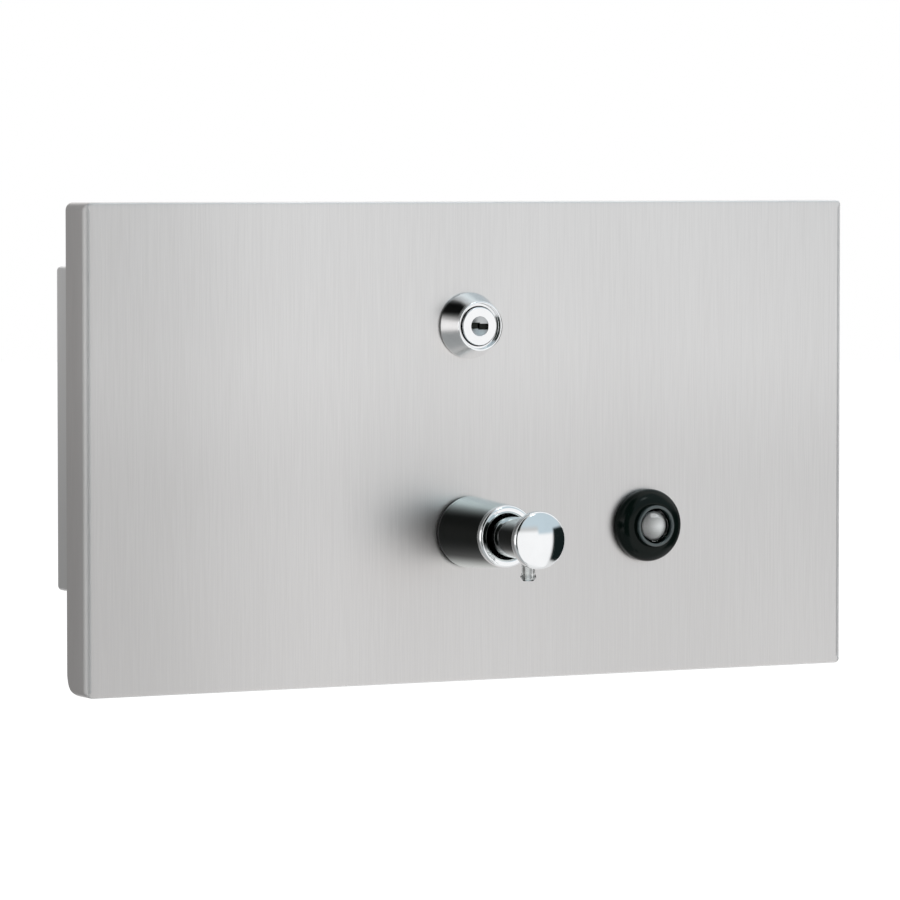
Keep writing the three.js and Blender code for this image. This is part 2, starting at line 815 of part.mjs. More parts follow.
function makePlunger() {
  const at = [valveX, panelFront, valveZ];
  const rimBack = -knobMiddle + knobRimThick / 2;
  const knobRear = rimBack + knobBack;
  const shoulder = knobRear + fit;
  const grooveRear = plungerRear - sealInset;
  const grooveFront = grooveRear - sealWidth - 2 * fit;
  const grooveFloor = plungerRadius - sealDepth;
  const stem = turned(
    [
      [0, shoulder - spigotLength],
      [spigotRadius, shoulder - spigotLength],
      [spigotRadius, shoulder],
      [plungerRadius, shoulder],
      [plungerRadius, grooveFront],
      [grooveFloor, grooveFront],
      [grooveFloor, grooveRear],
      [plungerRadius, grooveRear],
      [plungerRadius, plungerRear],
      [0, plungerRear],
    ],
    fineSides,
  );
  const passage = rod(passageRadius, -nozzleProud, plungerRear + overrun, smallSides);
  const outlet = aboutZ(rod(nozzleRadius + fit, -plungerRadius - overrun, 0, smallSides));
  place('plunger', cut(stem, [passage, outlet.translate(0, -nozzleProud, 0)]), chrome, ...at);

  const front = -knobMiddle - knobRimThick / 2;
  const dome = arc(0, front, knobRadius, -knobDome, 0, Math.PI / 2, domeSteps);
  dome[dome.length - 1][0] = 0;
  const knob = turned(
    [
      ...dome.reverse(),
      [knobRadius, rimBack],
      [knobBackRadius, knobRear],
      [spigotRadius + fit, knobRear],
      [spigotRadius + fit, shoulder - spigotLength - fit],
      [0, shoulder - spigotLength - fit],
    ],
    fineSides,
  );
  place('push_knob', knob, chrome, ...at);

  const tipZ = -nozzleDrop;
  const spout = turned(
    [
      [nozzleBore, tipZ],
      [nozzleRadius - nozzleBulge, tipZ],
      [nozzleRadius + nozzleBulge, tipZ + nozzleTip],
      [nozzleRadius, tipZ + 2 * nozzleTip],
      [nozzleRadius, -nozzleRoot],
      [nozzleBore, -nozzleRoot],
    ],
    smallSides,
  );
  place('nozzle', aboutZ(spout).translate(0, -nozzleProud, 0), clearPlastic, ...at);

  const seal = ring(bodyBore - sealProud, grooveFloor + fit, grooveFront + fit, grooveRear - fit, sides);
  place('piston_seal', seal, rubber, ...at);
}

// The return spring between the plunger and the inlet's spigot
class Helix extends THREE.Curve {
  constructor(radius, start, length, turns) {
    super();
    Object.assign(this, { radius, start, length, turns });
  }

  getPoint(share, target = new THREE.Vector3()) {
    const angle = 2 * Math.PI * this.turns * share;
    const height = this.start + this.length * share;
    return target.set(this.radius * Math.cos(angle), height, this.radius * Math.sin(angle));
  }
}

function makeSpring() {
  const start = plungerRear + fit + springWire;
  const end = spigotFront - fit - springWire;
  const wire = new THREE.Shape();
  wire.absarc(0, 0, springWire, 0, 2 * Math.PI);
  const spring = new THREE.ExtrudeGeometry(wire, {
    steps: springTurns * coilSteps,
    curveSegments: arcSteps,
    extrudePath: new Helix(springRadius, start, end - start, springTurns),
  });
  place('return_spring', spring, plainSteel, valveX, panelFront, valveZ);
}

// Inlet: a screwed end piece with the ball's seat and pocket, the pick-up tube and its strainer

function makeInlet() {
  const at = [valveX, panelFront, valveZ];
  const spigot = bodyBore - fit;
  const seatPiece = turned(
    [
      [spigot, spigotFront],
      [spigot, ballSeat],
      [bodyRadius, ballSeat],
      [bodyRadius, flangeBack],
      [tubeRadius + fit, flangeBack],
      [tubeRadius + fit, flangeBack - tubeSocket],
      [inletBore, flangeBack - tubeSocket],
      [inletBore, ballSeat],
      [ballPocket, ballSeat],
      [ballPocket, pocketFront],
      [pocketLipBore, pocketFront],
      [pocketLipBore, spigotFront],
    ],
    sides,
  );
  place('inlet_seat', seatPiece, whitePlastic, ...at);

  const ball = new THREE.SphereGeometry(ballRadius, smallSides, smallSides / 2);
  place('check_ball', ball, plainSteel, valveX, panelFront + ballMiddle, valveZ);

  const footZ = tankFloor + tankWall + strainerFloorGap + strainerWall + fit - valveZ;
  const route = new THREE.CurvePath();
  route.add(new THREE.LineCurve3(new THREE.Vector3(0, tubeStart, 0), new THREE.Vector3(0, tubeCorner, 0)));
  route.add(
    new THREE.QuadraticBezierCurve3(
      new THREE.Vector3(0, tubeCorner, 0),
      new THREE.Vector3(0, strainerMiddle, 0),
      new THREE.Vector3(0, strainerMiddle, -tubeBend),
    ),
  );
  const down = new THREE.Vector3(0, strainerMiddle, -tubeBend);
  route.add(new THREE.LineCurve3(down, new THREE.Vector3(0, strainerMiddle, footZ)));
  const section = new THREE.Shape();
  section.absarc(0, 0, tubeRadius, 0, 2 * Math.PI);
  const bore = new THREE.Path();
  bore.absarc(0, 0, tubeBore, 0, 2 * Math.PI, true);
  section.holes.push(bore);
  const tube = new THREE.ExtrudeGeometry(section, {
    steps: tubeSteps,
    curveSegments: tubeSides / 2,
    extrudePath: route,
  });
  place('pickup_tube', tube, clearPlastic, ...at);

  const cupFloor = footZ - fit;
  const cupBottom = cupFloor - strainerWall;
  const cupTop = cupBottom + strainerHeight;
  const cup = aboutZ(
    turned(
      [
        [0, cupBottom],
        [strainerRadius, cupBottom],
        [strainerRadius, cupTop],
        [tubeRadius + fit, cupTop],
        [tubeRadius + fit, cupFloor],
        [0, cupFloor],
      ],
      smallSides,
    ),
  );
  const slotEnd = strainerRadius + overrun;
  const slotTop = footZ + strainerSlotHeight;
  const tools = [];
  for (let i = 0; i < strainerSlots; i += 1) {
    const slot = block(-slotEnd, slotEnd, -strainerSlot / 2, strainerSlot / 2, footZ, slotTop);
    tools.push(slot.rotateZ((i * Math.PI) / strainerSlots));
  }
  place('inlet_strainer', cut(cup, tools), whitePlastic, valveX, panelFront + strainerMiddle, valveZ);
}

// Sight glass, about Y at its place, with heights measured back from the panel's front face

function makeSight() {
  const at = [sightX, panelFront, sightZ];
  const foot = -fit - bezelFoot;
  const domeReach = bezelRadius - bezelRing;
  const dome = arc(bezelRing, foot, domeReach, foot + bezelDome, 0, -Math.PI / 2, domeSteps);
  const bezel = turned(
    [
      [bezelTail, -fit],
      [bezelTail, bezelLength],
      [lensRadius + fit, bezelLength],
      [lensRadius + fit, -bezelProud + bezelLip],
      [lensRadius + fit + bezelLip, -bezelProud],
      [bezelRing - bezelLip, -bezelProud],
      [bezelRing, -bezelProud + bezelLip],
      ...dome.reverse(),
      [bezelRadius, -fit],
    ],
    fineSides,
  );
  place('sight_bezel', bezel, blackPlastic, ...at);

  const lensDomePoints = arc(0, -lensProud, lensRadius, -lensDome, 0, Math.PI / 2, arcSteps);
  lensDomePoints[lensDomePoints.length - 1][0] = 0;
  const lens = turned([...lensDomePoints.reverse(), [lensRadius, bezelLength], [0, bezelLength]], sides);
  place('sight_lens', lens, clearPlastic, ...at);

  const wallBack = tankFront + tankWall - panelFront;
  const gasketBack = wallBack + fit + tankGasketThick;
  const gasket = ring(sightGasketRadius, bezelTail + fit, wallBack + fit, gasketBack, sides);
  place('sight_gasket', gasket, rubber, ...at);
  const sightNut = nut(sightNutRadius, bezelTail + fit, gasketBack + fit, gasketBack + fit + sightNutThick);
  place('sight_nut', sightNut, blackPlastic, ...at);
}

place('wall_box', makeWallBox(), plainSteel);
place('latch_keeper', makeKeeper(), plainSteel);
place('front_panel', makeFrontPanel(), satinSteel);
makeHinge();
makeLock();
makeTank();
makeLid();
makeCap();
makeValve();
makePlunger();
makeSpring();
makeInlet();
makeSight();

export default part;
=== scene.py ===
"""Dresses the recessed soap dispenser and sets it before its camera.

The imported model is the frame. Each class holds the sizes of one sub-assembly in millimetres, works
out its surfaces with numpy, and gives them a finish. A surface is either a section turned about an
axis, an outline carried along a section, or a round wire carried along a path.
"""

import logging
import math
from dataclasses import dataclass
from enum import Enum
from typing import Callable, Optional, Sequence, Union

import bmesh
import bpy
import numpy as np
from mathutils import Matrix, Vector
from mathutils.geometry import delaunay_2d_cdt


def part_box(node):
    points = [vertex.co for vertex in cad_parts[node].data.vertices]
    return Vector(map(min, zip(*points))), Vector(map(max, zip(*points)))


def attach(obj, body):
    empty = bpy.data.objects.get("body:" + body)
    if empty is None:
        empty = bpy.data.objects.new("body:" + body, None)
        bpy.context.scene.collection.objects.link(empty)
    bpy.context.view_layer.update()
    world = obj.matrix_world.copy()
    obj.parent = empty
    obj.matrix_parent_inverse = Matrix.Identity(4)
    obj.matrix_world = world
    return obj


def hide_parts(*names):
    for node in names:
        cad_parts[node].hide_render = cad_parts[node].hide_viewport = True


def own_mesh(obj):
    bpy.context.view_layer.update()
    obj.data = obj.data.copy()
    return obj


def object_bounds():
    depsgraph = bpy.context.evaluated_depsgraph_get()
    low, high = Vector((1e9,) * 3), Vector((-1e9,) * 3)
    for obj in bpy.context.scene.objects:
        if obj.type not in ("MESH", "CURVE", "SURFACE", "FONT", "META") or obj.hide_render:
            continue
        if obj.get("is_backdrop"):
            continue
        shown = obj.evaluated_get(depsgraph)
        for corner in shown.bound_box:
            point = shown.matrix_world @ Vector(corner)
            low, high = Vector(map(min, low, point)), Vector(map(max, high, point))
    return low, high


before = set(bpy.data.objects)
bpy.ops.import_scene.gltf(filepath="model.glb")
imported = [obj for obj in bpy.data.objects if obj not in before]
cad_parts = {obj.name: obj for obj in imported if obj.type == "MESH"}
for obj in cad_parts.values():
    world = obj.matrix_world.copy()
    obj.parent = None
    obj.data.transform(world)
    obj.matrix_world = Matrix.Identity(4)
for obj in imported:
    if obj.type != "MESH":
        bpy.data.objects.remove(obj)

log = logging.getLogger("soap_dispenser")

MM = 0.001
WELD = 0.0002
SHARP_ANGLE = math.radians(32)
HALF_TURN = math.pi
FULL_TURN = 2 * math.pi

# A section's point with this fillet is kept as it is
SMOOTH = -1.0
# Two faces stay a hair apart where they would lie in one plane
HAIR = 0.02
# A cutter runs past what it cuts by this much
OVERRUN = 1.0

Colour = tuple[float, float, float]
Setting = Union[float, Sequence[float], "Signal"]


class Body(Enum):
    """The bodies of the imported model."""

    WALL = "wall"
    PANEL = "panel"
    LOCK = "lock"
    KNOB = "knob"
    CAP = "cap"
    BALL = "ball"


class Axis(Enum):
    """The axis that a section is turned about."""

    DEPTH = "y"
    HEIGHT = "z"

    @property
    def number(self) -> int:
        """The axis's place in X, Y and Z."""
        return "xyz".index(self.value)


# Shader building


class Nodes:
    """Adds nodes to one node tree."""

    def __init__(self, tree: bpy.types.NodeTree) -> None:
        """Empties the tree.

        Args:
            tree: The node tree of a material or of the world.
        """
        self.tree = tree
        tree.nodes.clear()

    def make(
        self,
        kind: str,
        settings: Optional[dict[str, object]] = None,
        sockets: Optional[dict[Union[str, int], Setting]] = None,
    ) -> bpy.types.Node:
        """Adds a node, sets it, then fills its sockets.

        Args:
            kind: The node's type.
            settings: Its own settings. The setting "stops" holds a ramp's places and colours.
            sockets: Values or signals for its input sockets, by name or number.

        Returns:
            The new node.
        """
        node = self.tree.nodes.new(kind)
        for name, value in (settings or {}).items():
            if name == "stops":
                self._set_stops(node.color_ramp, value)
            else:
                setattr(node, name, value)
        for name, value in (sockets or {}).items():
            self.feed(node.inputs[name], value)
        return node

    def feed(self, socket: bpy.types.NodeSocket, value: Setting) -> None:
        """Sets a socket's value, or links a signal to it.

        Args:
            socket: An input socket.
            value: A number, a colour or vector, or a signal.
        """
        if isinstance(value, Signal):
            self.tree.links.new(value.socket, socket)
        else:
            socket.default_value = value

    def signal(self, kind: str, output: Union[str, int], *details: dict) -> "Signal":
        """Adds a node and returns one of its outputs as a signal.

        Args:
            kind: The node's type.
            output: The output socket's name or number.
            details: Its settings, then its sockets, as for make.

        Returns:
            The output.
        """
        return Signal(self, self.make(kind, *details).outputs[output])

    def grain(self, scale: Sequence[float], detail: float = 2.0) -> "Signal":
        """Makes a noise on Object coordinates that is stretched by its scale.

        Args:
            scale: Waves in each metre along X, Y and Z.
            detail: The noise's octaves.

        Returns:
            A value around a half.
        """
        place = self.signal("ShaderNodeTexCoord", "Object")
        turned = self.signal("ShaderNodeMapping", 0, {}, {"Vector": place, "Scale": scale})
        return self.signal(
            "ShaderNodeTexNoise", 0, {}, {"Vector": turned, "Scale": 1.0, "Detail": detail}
        )

    def parts(self, vector: "Signal") -> list["Signal"]:
        """Takes a vector apart.

        Args:
            vector: The vector.

        Returns:
            Its X, Y and Z.
        """
        node = self.make("ShaderNodeSeparateXYZ", {}, {0: vector})
        return [Signal(self, output) for output in node.outputs]

    def mixed(self, share: "Signal", low: Setting, high: Setting) -> "Signal":
        """Mixes two colours.

        Args:
            share: How much of the second colour shows.
            low: The first colour.
            high: The second colour.

        Returns:
            The mixed colour.
        """
        node = self.make("ShaderNodeMix", {"data_type": "RGBA"}, {0: share, 6: low, 7: high})
        return Signal(self, node.outputs[2])

    @staticmethod
    def _set_stops(ramp: bpy.types.ColorRamp, stops: Sequence[tuple[float, Sequence[float]]]) -> None:
        """Gives a ramp its stops."""
        while len(ramp.elements) < len(stops):
            ramp.elements.new(1.0)
        for element, (place, colour) in zip(ramp.elements, stops):
            element.position = place
            element.color = colour


class Signal:
    """A shader value, on which Python's arithmetic adds Math nodes."""

    def __init__(self, nodes: Nodes, socket: bpy.types.NodeSocket) -> None:
        """Wraps an output socket.

        Args:
            nodes: The tree's builder.
            socket: The output socket.
        """
        self.nodes = nodes
        self.socket = socket

    def _math(self, operation: str, *values: Setting, clamp: bool = False) -> "Signal":
        """Adds one Math node on the given values."""
        sockets = dict(enumerate(values))
        settings = {"operation": operation, "use_clamp": clamp}
        return self.nodes.signal("ShaderNodeMath", 0, settings, sockets)

    def __add__(self, other: Setting) -> "Signal":
        """Adds a value."""
        return self._math("ADD", self, other)

    def __radd__(self, other: Setting) -> "Signal":
        """Adds this to a value."""
        return self._math("ADD", other, self)

    def __sub__(self, other: Setting) -> "Signal":
        """Takes a value away."""
        return self._math("SUBTRACT", self, other)

    def __rsub__(self, other: Setting) -> "Signal":
        """Takes this away from a value."""
        return self._math("SUBTRACT", other, self)

    def __mul__(self, other: Setting) -> "Signal":
        """Multiplies by a value."""
        return self._math("MULTIPLY", self, other)

    def __rmul__(self, other: Setting) -> "Signal":
        """Multiplies a value by this."""
        return self._math("MULTIPLY", other, self)

    def __truediv__(self, other: Setting) -> "Signal":
        """Divides by a value."""
        return self._math("DIVIDE", self, other)

    def __neg__(self) -> "Signal":
        """Turns the sign."""
        return self._math("MULTIPLY", self, -1.0)

    def clamped(self) -> "Signal":
        """Keeps the value from 0 to 1."""
        return self._math("ADD", self, 0.0, clamp=True)

    def stepped(self, low: float, high: float) -> "Signal":
        """Rises smoothly from 0 at low to 1 at high."""
        share = ((self - low) / (high - low)).clamped()
        return share * share * (3.0 - 2.0 * share)

    def within(self, low: float, high: float, soft: float) -> "Signal":
        """Gives 1 from low to high and 0 beyond, rising and falling over soft to either side."""
        return self.stepped(low - soft, low + soft) - self.stepped(high - soft, high + soft)

    def larger(self, other: Setting) -> "Signal":
        """Takes the larger of this and a value."""
        return self._math("MAXIMUM", self, other)

    def absolute(self) -> "Signal":
        """Drops the sign."""
        return self._math("ABSOLUTE", self)

    def arc_sine(self) -> "Signal":
        """Gives the angle whose sine this is."""
        return self._math("ARCSINE", self)

    def heading(self, other: "Signal") -> "Signal":
        """Gives the angle of the direction whose sine side is this and whose cosine side is other."""
        return self._math("ARCTAN2", self, other)


# Finishes


@dataclass(frozen=True)
class Finish:
    """The finish of a material: its name and the slot that it belongs to."""

    name: str
    slot: str

    def material(self) -> bpy.types.Material:
        """Gives the finish's material, made once.

        Returns:
            The material.
        """
        found = bpy.data.materials.get(self.name)
        if found is not None:
            return found
        made = bpy.data.materials.new(self.name)
        made.use_nodes = True
        nodes = Nodes(made.node_tree)
        shader = nodes.make("ShaderNodeBsdfPrincipled")
        self.dress(nodes, shader)
        nodes.make("ShaderNodeOutputMaterial", {}, {"Surface": Signal(nodes, shader.outputs[0])})
        return made

    def dress(self, nodes: Nodes, shader: bpy.types.Node) -> None:
        """Fills the shader's sockets.

        Args:
            nodes: The material's tree.
            shader: Its Principled shader.
        """
        raise NotImplementedError

    @staticmethod
    def fill(nodes: Nodes, shader: bpy.types.Node, **values: Setting) -> None:
        """Sets sockets of the shader by name, with an underscore for each space.

        Args:
            nodes: The material's tree.
            shader: Its shader.
            values: The sockets' values.
        """
        for name, value in values.items():
            nodes.feed(shader.inputs[name.replace("_", " ")], value)

    @staticmethod
    def bumped(nodes: Nodes, shader: bpy.types.Node, height: Signal, depth: float, strength: float) -> None:
        """Feeds a height in millimetres' worth of depth to the shader's normal.

        Args:
            nodes: The material's tree.
            shader: Its shader.
            height: The height, from 0 to 1.
            depth: The full height in millimetres.
            strength: How strongly it shows.
        """
        bump = nodes.signal(
            "ShaderNodeBump", 0, {}, {"Height": height, "Distance": depth * MM, "Strength": strength}
        )
        nodes.feed(shader.inputs["Normal"], bump)


def rgba(colour: Colour, factor: float = 1.0) -> tuple[float, float, float, float]:
    """Gives a colour its alpha, after multiplying it by a factor."""
    red, green, blue = (part * factor for part in colour)
    return (red, green, blue, 1.0)


@dataclass(frozen=True)
class Band:
    """A stretch along one of a piece's axes, in metres, with soft ends."""

    axis: int
    low: float
    high: float
    soft: float

    def share(self, place: Sequence[Signal]) -> Signal:
        """Gives 1 inside the band and 0 outside it.

        Args:
            place: The object coordinates.

        Returns:
            The share.
        """
        return place[self.axis].within(self.low, self.high, self.soft)


@dataclass(frozen=True)
class Shade:
    """A patch of painted shade where bands cross, in which a piece's colour is darker by the depth."""

    depth: float
    bands: tuple[Band, ...]

    def tone(self, place: Sequence[Signal]) -> Signal:
        """Gives the share of the colour that is left.

        Args:
            place: The object coordinates.

        Returns:
            1 outside the patch, and less by the depth inside it.
        """
        inside = self.bands[0].share(place)
        for band in self.bands[1:]:
            inside = inside * band.share(place)
        return 1.0 - inside * self.depth


def shaded(nodes: Nodes, colour: Signal, painted_shades: Sequence[Shade]) -> Signal:
    """Lays patches of painted shade over a colour.

    Args:
        nodes: The material's tree.
        colour: The colour.
        painted_shades: The patches of painted shade.

    Returns:
        The shaded colour.
    """
    if not painted_shades:
        return colour
    place = nodes.parts(nodes.signal("ShaderNodeTexCoord", "Object"))
    for shade in painted_shades:
        colour = nodes.mixed(shade.tone(place), (0.0, 0.0, 0.0, 1.0), colour)
    return colour


@dataclass(frozen=True)
class BrushedSteel(Finish):
    """Sheet steel with a fine grain that runs up the sheet, duller on its folds, where a paler colour is a
    painted highlight.
    """

    colour: Colour = (0.773, 0.752, 0.742)
    roughness: float = 0.37
    spread: float = 0.07
    across: float = 2300.0
    along: float = 60.0
    fold_roughness: float = 0.21
    fold_painted_highlight: Colour = (0.97, 0.96, 0.955)
    painted_shades: tuple[Shade, ...] = ()

    def dress(self, nodes: Nodes, shader: bpy.types.Node) -> None:
        """Lays fine and broad streaks over colour, roughness and height, with a painted highlight on the
        folds and any painted shade.

        Args:
            nodes: The material's tree.
            shader: Its shader.
        """
        fine = nodes.grain((self.across, self.across, self.along), 3.0)
        broad = nodes.grain((self.across / 9, self.across / 9, self.along / 2), 2.0)
        cloud = nodes.grain((16.0, 16.0, 9.0), 1.0)
        streak = fine * 0.75 + broad * 0.25
        worn = (streak * 0.7 + cloud * 0.3).stepped(0.3, 0.7)
        colour = nodes.mixed(worn, rgba(self.colour, 0.95), rgba(self.colour, 1.05))
        facing = nodes.parts(nodes.signal("ShaderNodeTexCoord", "Normal"))[1].absolute()
        fold = facing.stepped(0.02, 0.12) * (1.0 - facing.stepped(0.965, 0.997))
        # Painted highlight: the folds are mixed towards a paler colour, as where they catch the light
        colour = nodes.mixed(fold, colour, rgba(self.fold_painted_highlight))
        # Painted shade: the colour is darker in any patches that the finish is given
        colour = shaded(nodes, colour, self.painted_shades)
        roughness = self.roughness + (streak - 0.5) * self.spread * 2.0 + fold * self.fold_roughness
        self.fill(nodes, shader, Base_Color=colour, Metallic=1.0, Roughness=roughness)
        self.bumped(nodes, shader, streak, 0.004, 0.5)


@dataclass(frozen=True)
class MillSteel(Finish):
    """Plain sheet steel as it comes from the mill, faintly clouded and rolled one way."""

    colour: Colour = (0.52, 0.52, 0.515)
    roughness: float = 0.42

    def dress(self, nodes: Nodes, shader: bpy.types.Node) -> None:
        """Lays clouds and faint rolling lines over the sheet.

        Args:
            nodes: The material's tree.
            shader: Its shader.
        """
        rolled = nodes.grain((30.0, 700.0, 700.0), 2.0)
        cloud = nodes.grain((45.0, 45.0, 45.0), 3.0)
        worn = (rolled * 0.45 + cloud * 0.55).stepped(0.32, 0.68)
        colour = nodes.mixed(worn, rgba(self.colour, 0.93), rgba(self.colour, 1.06))
        roughness = self.roughness + (cloud - 0.5) * 0.2
        self.fill(nodes, shader, Base_Color=colour, Metallic=1.0, Roughness=roughness)
        self.bumped(nodes, shader, rolled, 0.004, 0.4)


@dataclass(frozen=True)
class Chrome(Finish):
    """Polished plating with hairlines and a trace of handling."""

    colour: Colour = (0.86, 0.87, 0.88)
    roughness: float = 0.05
    painted_shades: tuple[Shade, ...] = ()

    def dress(self, nodes: Nodes, shader: bpy.types.Node) -> None:
        """Lays faint smears over the polish, then any painted reflection as darker patches.

        Args:
            nodes: The material's tree.
            shader: Its shader.
        """
        smear = nodes.grain((160.0, 160.0, 160.0), 3.0).stepped(0.35, 0.75)
        hair = nodes.grain((2600.0, 120.0, 2600.0), 1.0)
        colour = nodes.mixed(smear, rgba(self.colour), rgba(self.colour, 0.97))
        # Painted reflection: the plating is darker in any patches that the finish is given
        colour = shaded(nodes, colour, self.painted_shades)
        roughness = self.roughness + smear * 0.035 + (hair - 0.5) * 0.02
        self.fill(nodes, shader, Base_Color=colour, Metallic=1.0, Roughness=roughness)
        self.bumped(nodes, shader, hair, 0.001, 0.03)


@dataclass(frozen=True)
class Brass(Finish):
    """Turned brass, a little dulled."""

    colour: Colour = (0.72, 0.51, 0.22)
    roughness: float = 0.27

    def dress(self, nodes: Nodes, shader: bpy.types.Node) -> None:
        """Lays tool marks and dull patches over the brass.

        Args:
            nodes: The material's tree.
            shader: Its shader.
        """
        marks = nodes.grain((900.0, 3000.0, 900.0), 2.0)
        dull = nodes.grain((120.0, 120.0, 120.0), 3.0).stepped(0.35, 0.7)
        colour = nodes.mixed(dull, rgba(self.colour), rgba(self.colour, 0.78))
        roughness = self.roughness + dull * 0.14 + (marks - 0.5) * 0.1
        self.fill(nodes, shader, Base_Color=colour, Metallic=1.0, Roughness=roughness)
        self.bumped(nodes, shader, marks, 0.006, 0.4)


@dataclass(frozen=True)
class Moulding(Finish):
    """Moulded plastic or rubber with a fine texture and a few scuffs."""

    colour: Colour = (0.8, 0.8, 0.78)
    roughness: float = 0.4
    texture: float = 0.01
    sheen: float = 0.5
    painted_shades: tuple[Shade, ...] = ()

    def dress(self, nodes: Nodes, shader: bpy.types.Node) -> None:
        """Lays the mould's texture and scuffs over the plastic, then any painted shade.

        Args:
            nodes: The material's tree.
            shader: Its shader.
        """
        fine = nodes.grain((1900.0, 1900.0, 1900.0), 2.0)
        scuff = nodes.grain((260.0, 260.0, 260.0), 4.0).stepped(0.52, 0.75)
        colour = nodes.mixed(scuff, rgba(self.colour), rgba(self.colour, 1.12))
        # Painted shade: the plastic is darker in any patches that the finish is given
        colour = shaded(nodes, colour, self.painted_shades)
        roughness = self.roughness + scuff * 0.07 + (fine - 0.5) * 0.05
        self.fill(
            nodes, shader, Base_Color=colour, Roughness=roughness, Specular_IOR_Level=self.sheen
        )
        self.bumped(nodes, shader, fine, self.texture, 0.35)


@dataclass(frozen=True)
class ClearPlastic(Finish):
    """Clear moulded plastic or glass."""

    colour: Colour = (0.95, 0.97, 0.97)
    roughness: float = 0.04
    index: float = 1.49
    painted_shades: tuple[Shade, ...] = ()

    def dress(self, nodes: Nodes, shader: bpy.types.Node) -> None:
        """Makes it see-through, with faint smears and any painted shade.

        Args:
            nodes: The material's tree.
            shader: Its shader.
        """
        smear = nodes.grain((300.0, 300.0, 300.0), 3.0)
        roughness = self.roughness + (smear - 0.5) * 0.04
        colour: Setting = rgba(self.colour)
        # Painted shade: the plastic is darker in any patches that the finish is given
        if self.painted_shades:
            smeared = nodes.mixed(smear, colour, rgba(self.colour, 0.96))
            colour = shaded(nodes, smeared, self.painted_shades)
        self.fill(nodes, shader, Base_Color=colour, Roughness=roughness, IOR=self.index)
        self.fill(nodes, shader, Transmission_Weight=1.0)
        self.bumped(nodes, shader, smear, 0.004, 0.1)


# Painted shade: the panel darkens towards its left side, its outermost left bend and its foot, as the light
# falls off there
PANEL_PAINTED_SHADE = (
    Shade(0.2, (Band(0, -1.0, -0.09, 0.045),)),
    Shade(0.12, (Band(0, -1.0, -0.1255, 0.002),)),
    Shade(0.1, (Band(2, -1.0, 0.004, 0.024),)),
)
SATIN_PANEL = BrushedSteel("satin_panel_steel", "satin_panel", painted_shades=PANEL_PAINTED_SHADE)
# Painted shade: the wall box darkens towards its bottom
BOX_PAINTED_SHADE = (Shade(0.32, (Band(2, -1.0, 0.0, 0.058),)),)
BOX_STEEL = BrushedSteel(
    "wall_box_steel", "box_steel", (0.68, 0.68, 0.675), 0.36, 0.08, 900.0, 9.0, 0.1, painted_shades=BOX_PAINTED_SHADE
)
TANK_STEEL = MillSteel("tank_steel", "tank_steel", (0.55, 0.555, 0.56), 0.36)
PLAIN_STEEL = MillSteel("plain_steel", "plain_steel")
PLATING = Chrome("bright_plating", "chrome")
# Painted reflection: a dark patch on the collar's upper left side, where dark surroundings would show in the
# plating
COLLAR_PAINTED_REFLECTION = (
    Shade(
        0.94,
        (Band(0, -1.0, -0.0076, 0.0008), Band(1, -0.0957, 1.0, 0.0002), Band(2, 0.0354, 0.0392, 0.001)),
    ),
)
COLLAR_PLATING = Chrome("collar_plating", "chrome", painted_shades=COLLAR_PAINTED_REFLECTION)
# Painted reflection: the sleeve is near black across a band round its middle height, and bright above and
# below it, as surroundings would show in the plating
SLEEVE_PAINTED_REFLECTION = (Shade(0.955, (Band(2, -0.0375, -0.0213, 0.0026),)),)
SLEEVE_PLATING = Chrome("sleeve_plating", "chrome", (0.86, 0.93, 0.91), 0.06, SLEEVE_PAINTED_REFLECTION)
# Painted reflection: the plunger is near black across a band round its middle height, and bright above and
# below it
STEM_PAINTED_REFLECTION = (Shade(0.95, (Band(2, -0.0332, -0.0255, 0.0014),)),)
STEM_PLATING = Chrome("stem_plating", "chrome", (0.7, 0.74, 0.73), 0.07, STEM_PAINTED_REFLECTION)
SATIN_PLATING = Chrome("satin_plating", "chrome", (0.52, 0.54, 0.55), 0.34)
NUT_BRASS = Brass("turned_brass", "brass_nut")
GLOSS_BLACK = Moulding("gloss_black_plastic", "black_plastic", (0.002, 0.005, 0.004), 0.16, 0.004, 0.14)
# Partly painted highlight: the ring is a little paler than the bezel's dome so that it shows as a brighter
# ring, and it is glossier
RING_BLACK = Moulding("bezel_ring_plastic", "black_plastic", (0.03, 0.045, 0.047), 0.2, 0.004, 0.9)
# Painted shade: a near black finish for inserts that fill the keyway, where its recess is in shade
KEYWAY_PAINTED_SHADE = Moulding("keyway_dark", "chrome", (0.006, 0.008, 0.006), 0.5, 0.01, 0.2)
CAP_BLACK = Moulding("cap_black_plastic", "black_plastic", (0.018, 0.019, 0.020), 0.38, 0.02)
WHITE_PLASTIC = Moulding("white_plastic", "white_plastic", (0.79, 0.785, 0.76), 0.38, 0.012)
# Painted shade and highlight: the sight's core darkens towards its edges, leaving a bright spot right of its
# middle, as if lit from the right
CORE_PAINTED_SHADE = (
    Shade(0.8, (Band(0, -1.0, 0.0568, 0.003),)),
    Shade(0.6, (Band(0, 0.0606, 1.0, 0.0014),)),
    Shade(0.65, (Band(2, -1.0, -0.0305, 0.002),)),
    Shade(0.6, (Band(2, -0.0272, 1.0, 0.002),)),
)
FLOAT_WHITE = Moulding(
    "sight_core_plastic", "sight_lens", (0.84, 0.85, 0.85), 0.3, 0.006, 0.5, CORE_PAINTED_SHADE
)
RUBBER = Moulding("seal_rubber", "rubber_seal", (0.022, 0.022, 0.023), 0.72, 0.03)
CLEAR = ClearPlastic("clear_plastic", "clear_plastic")
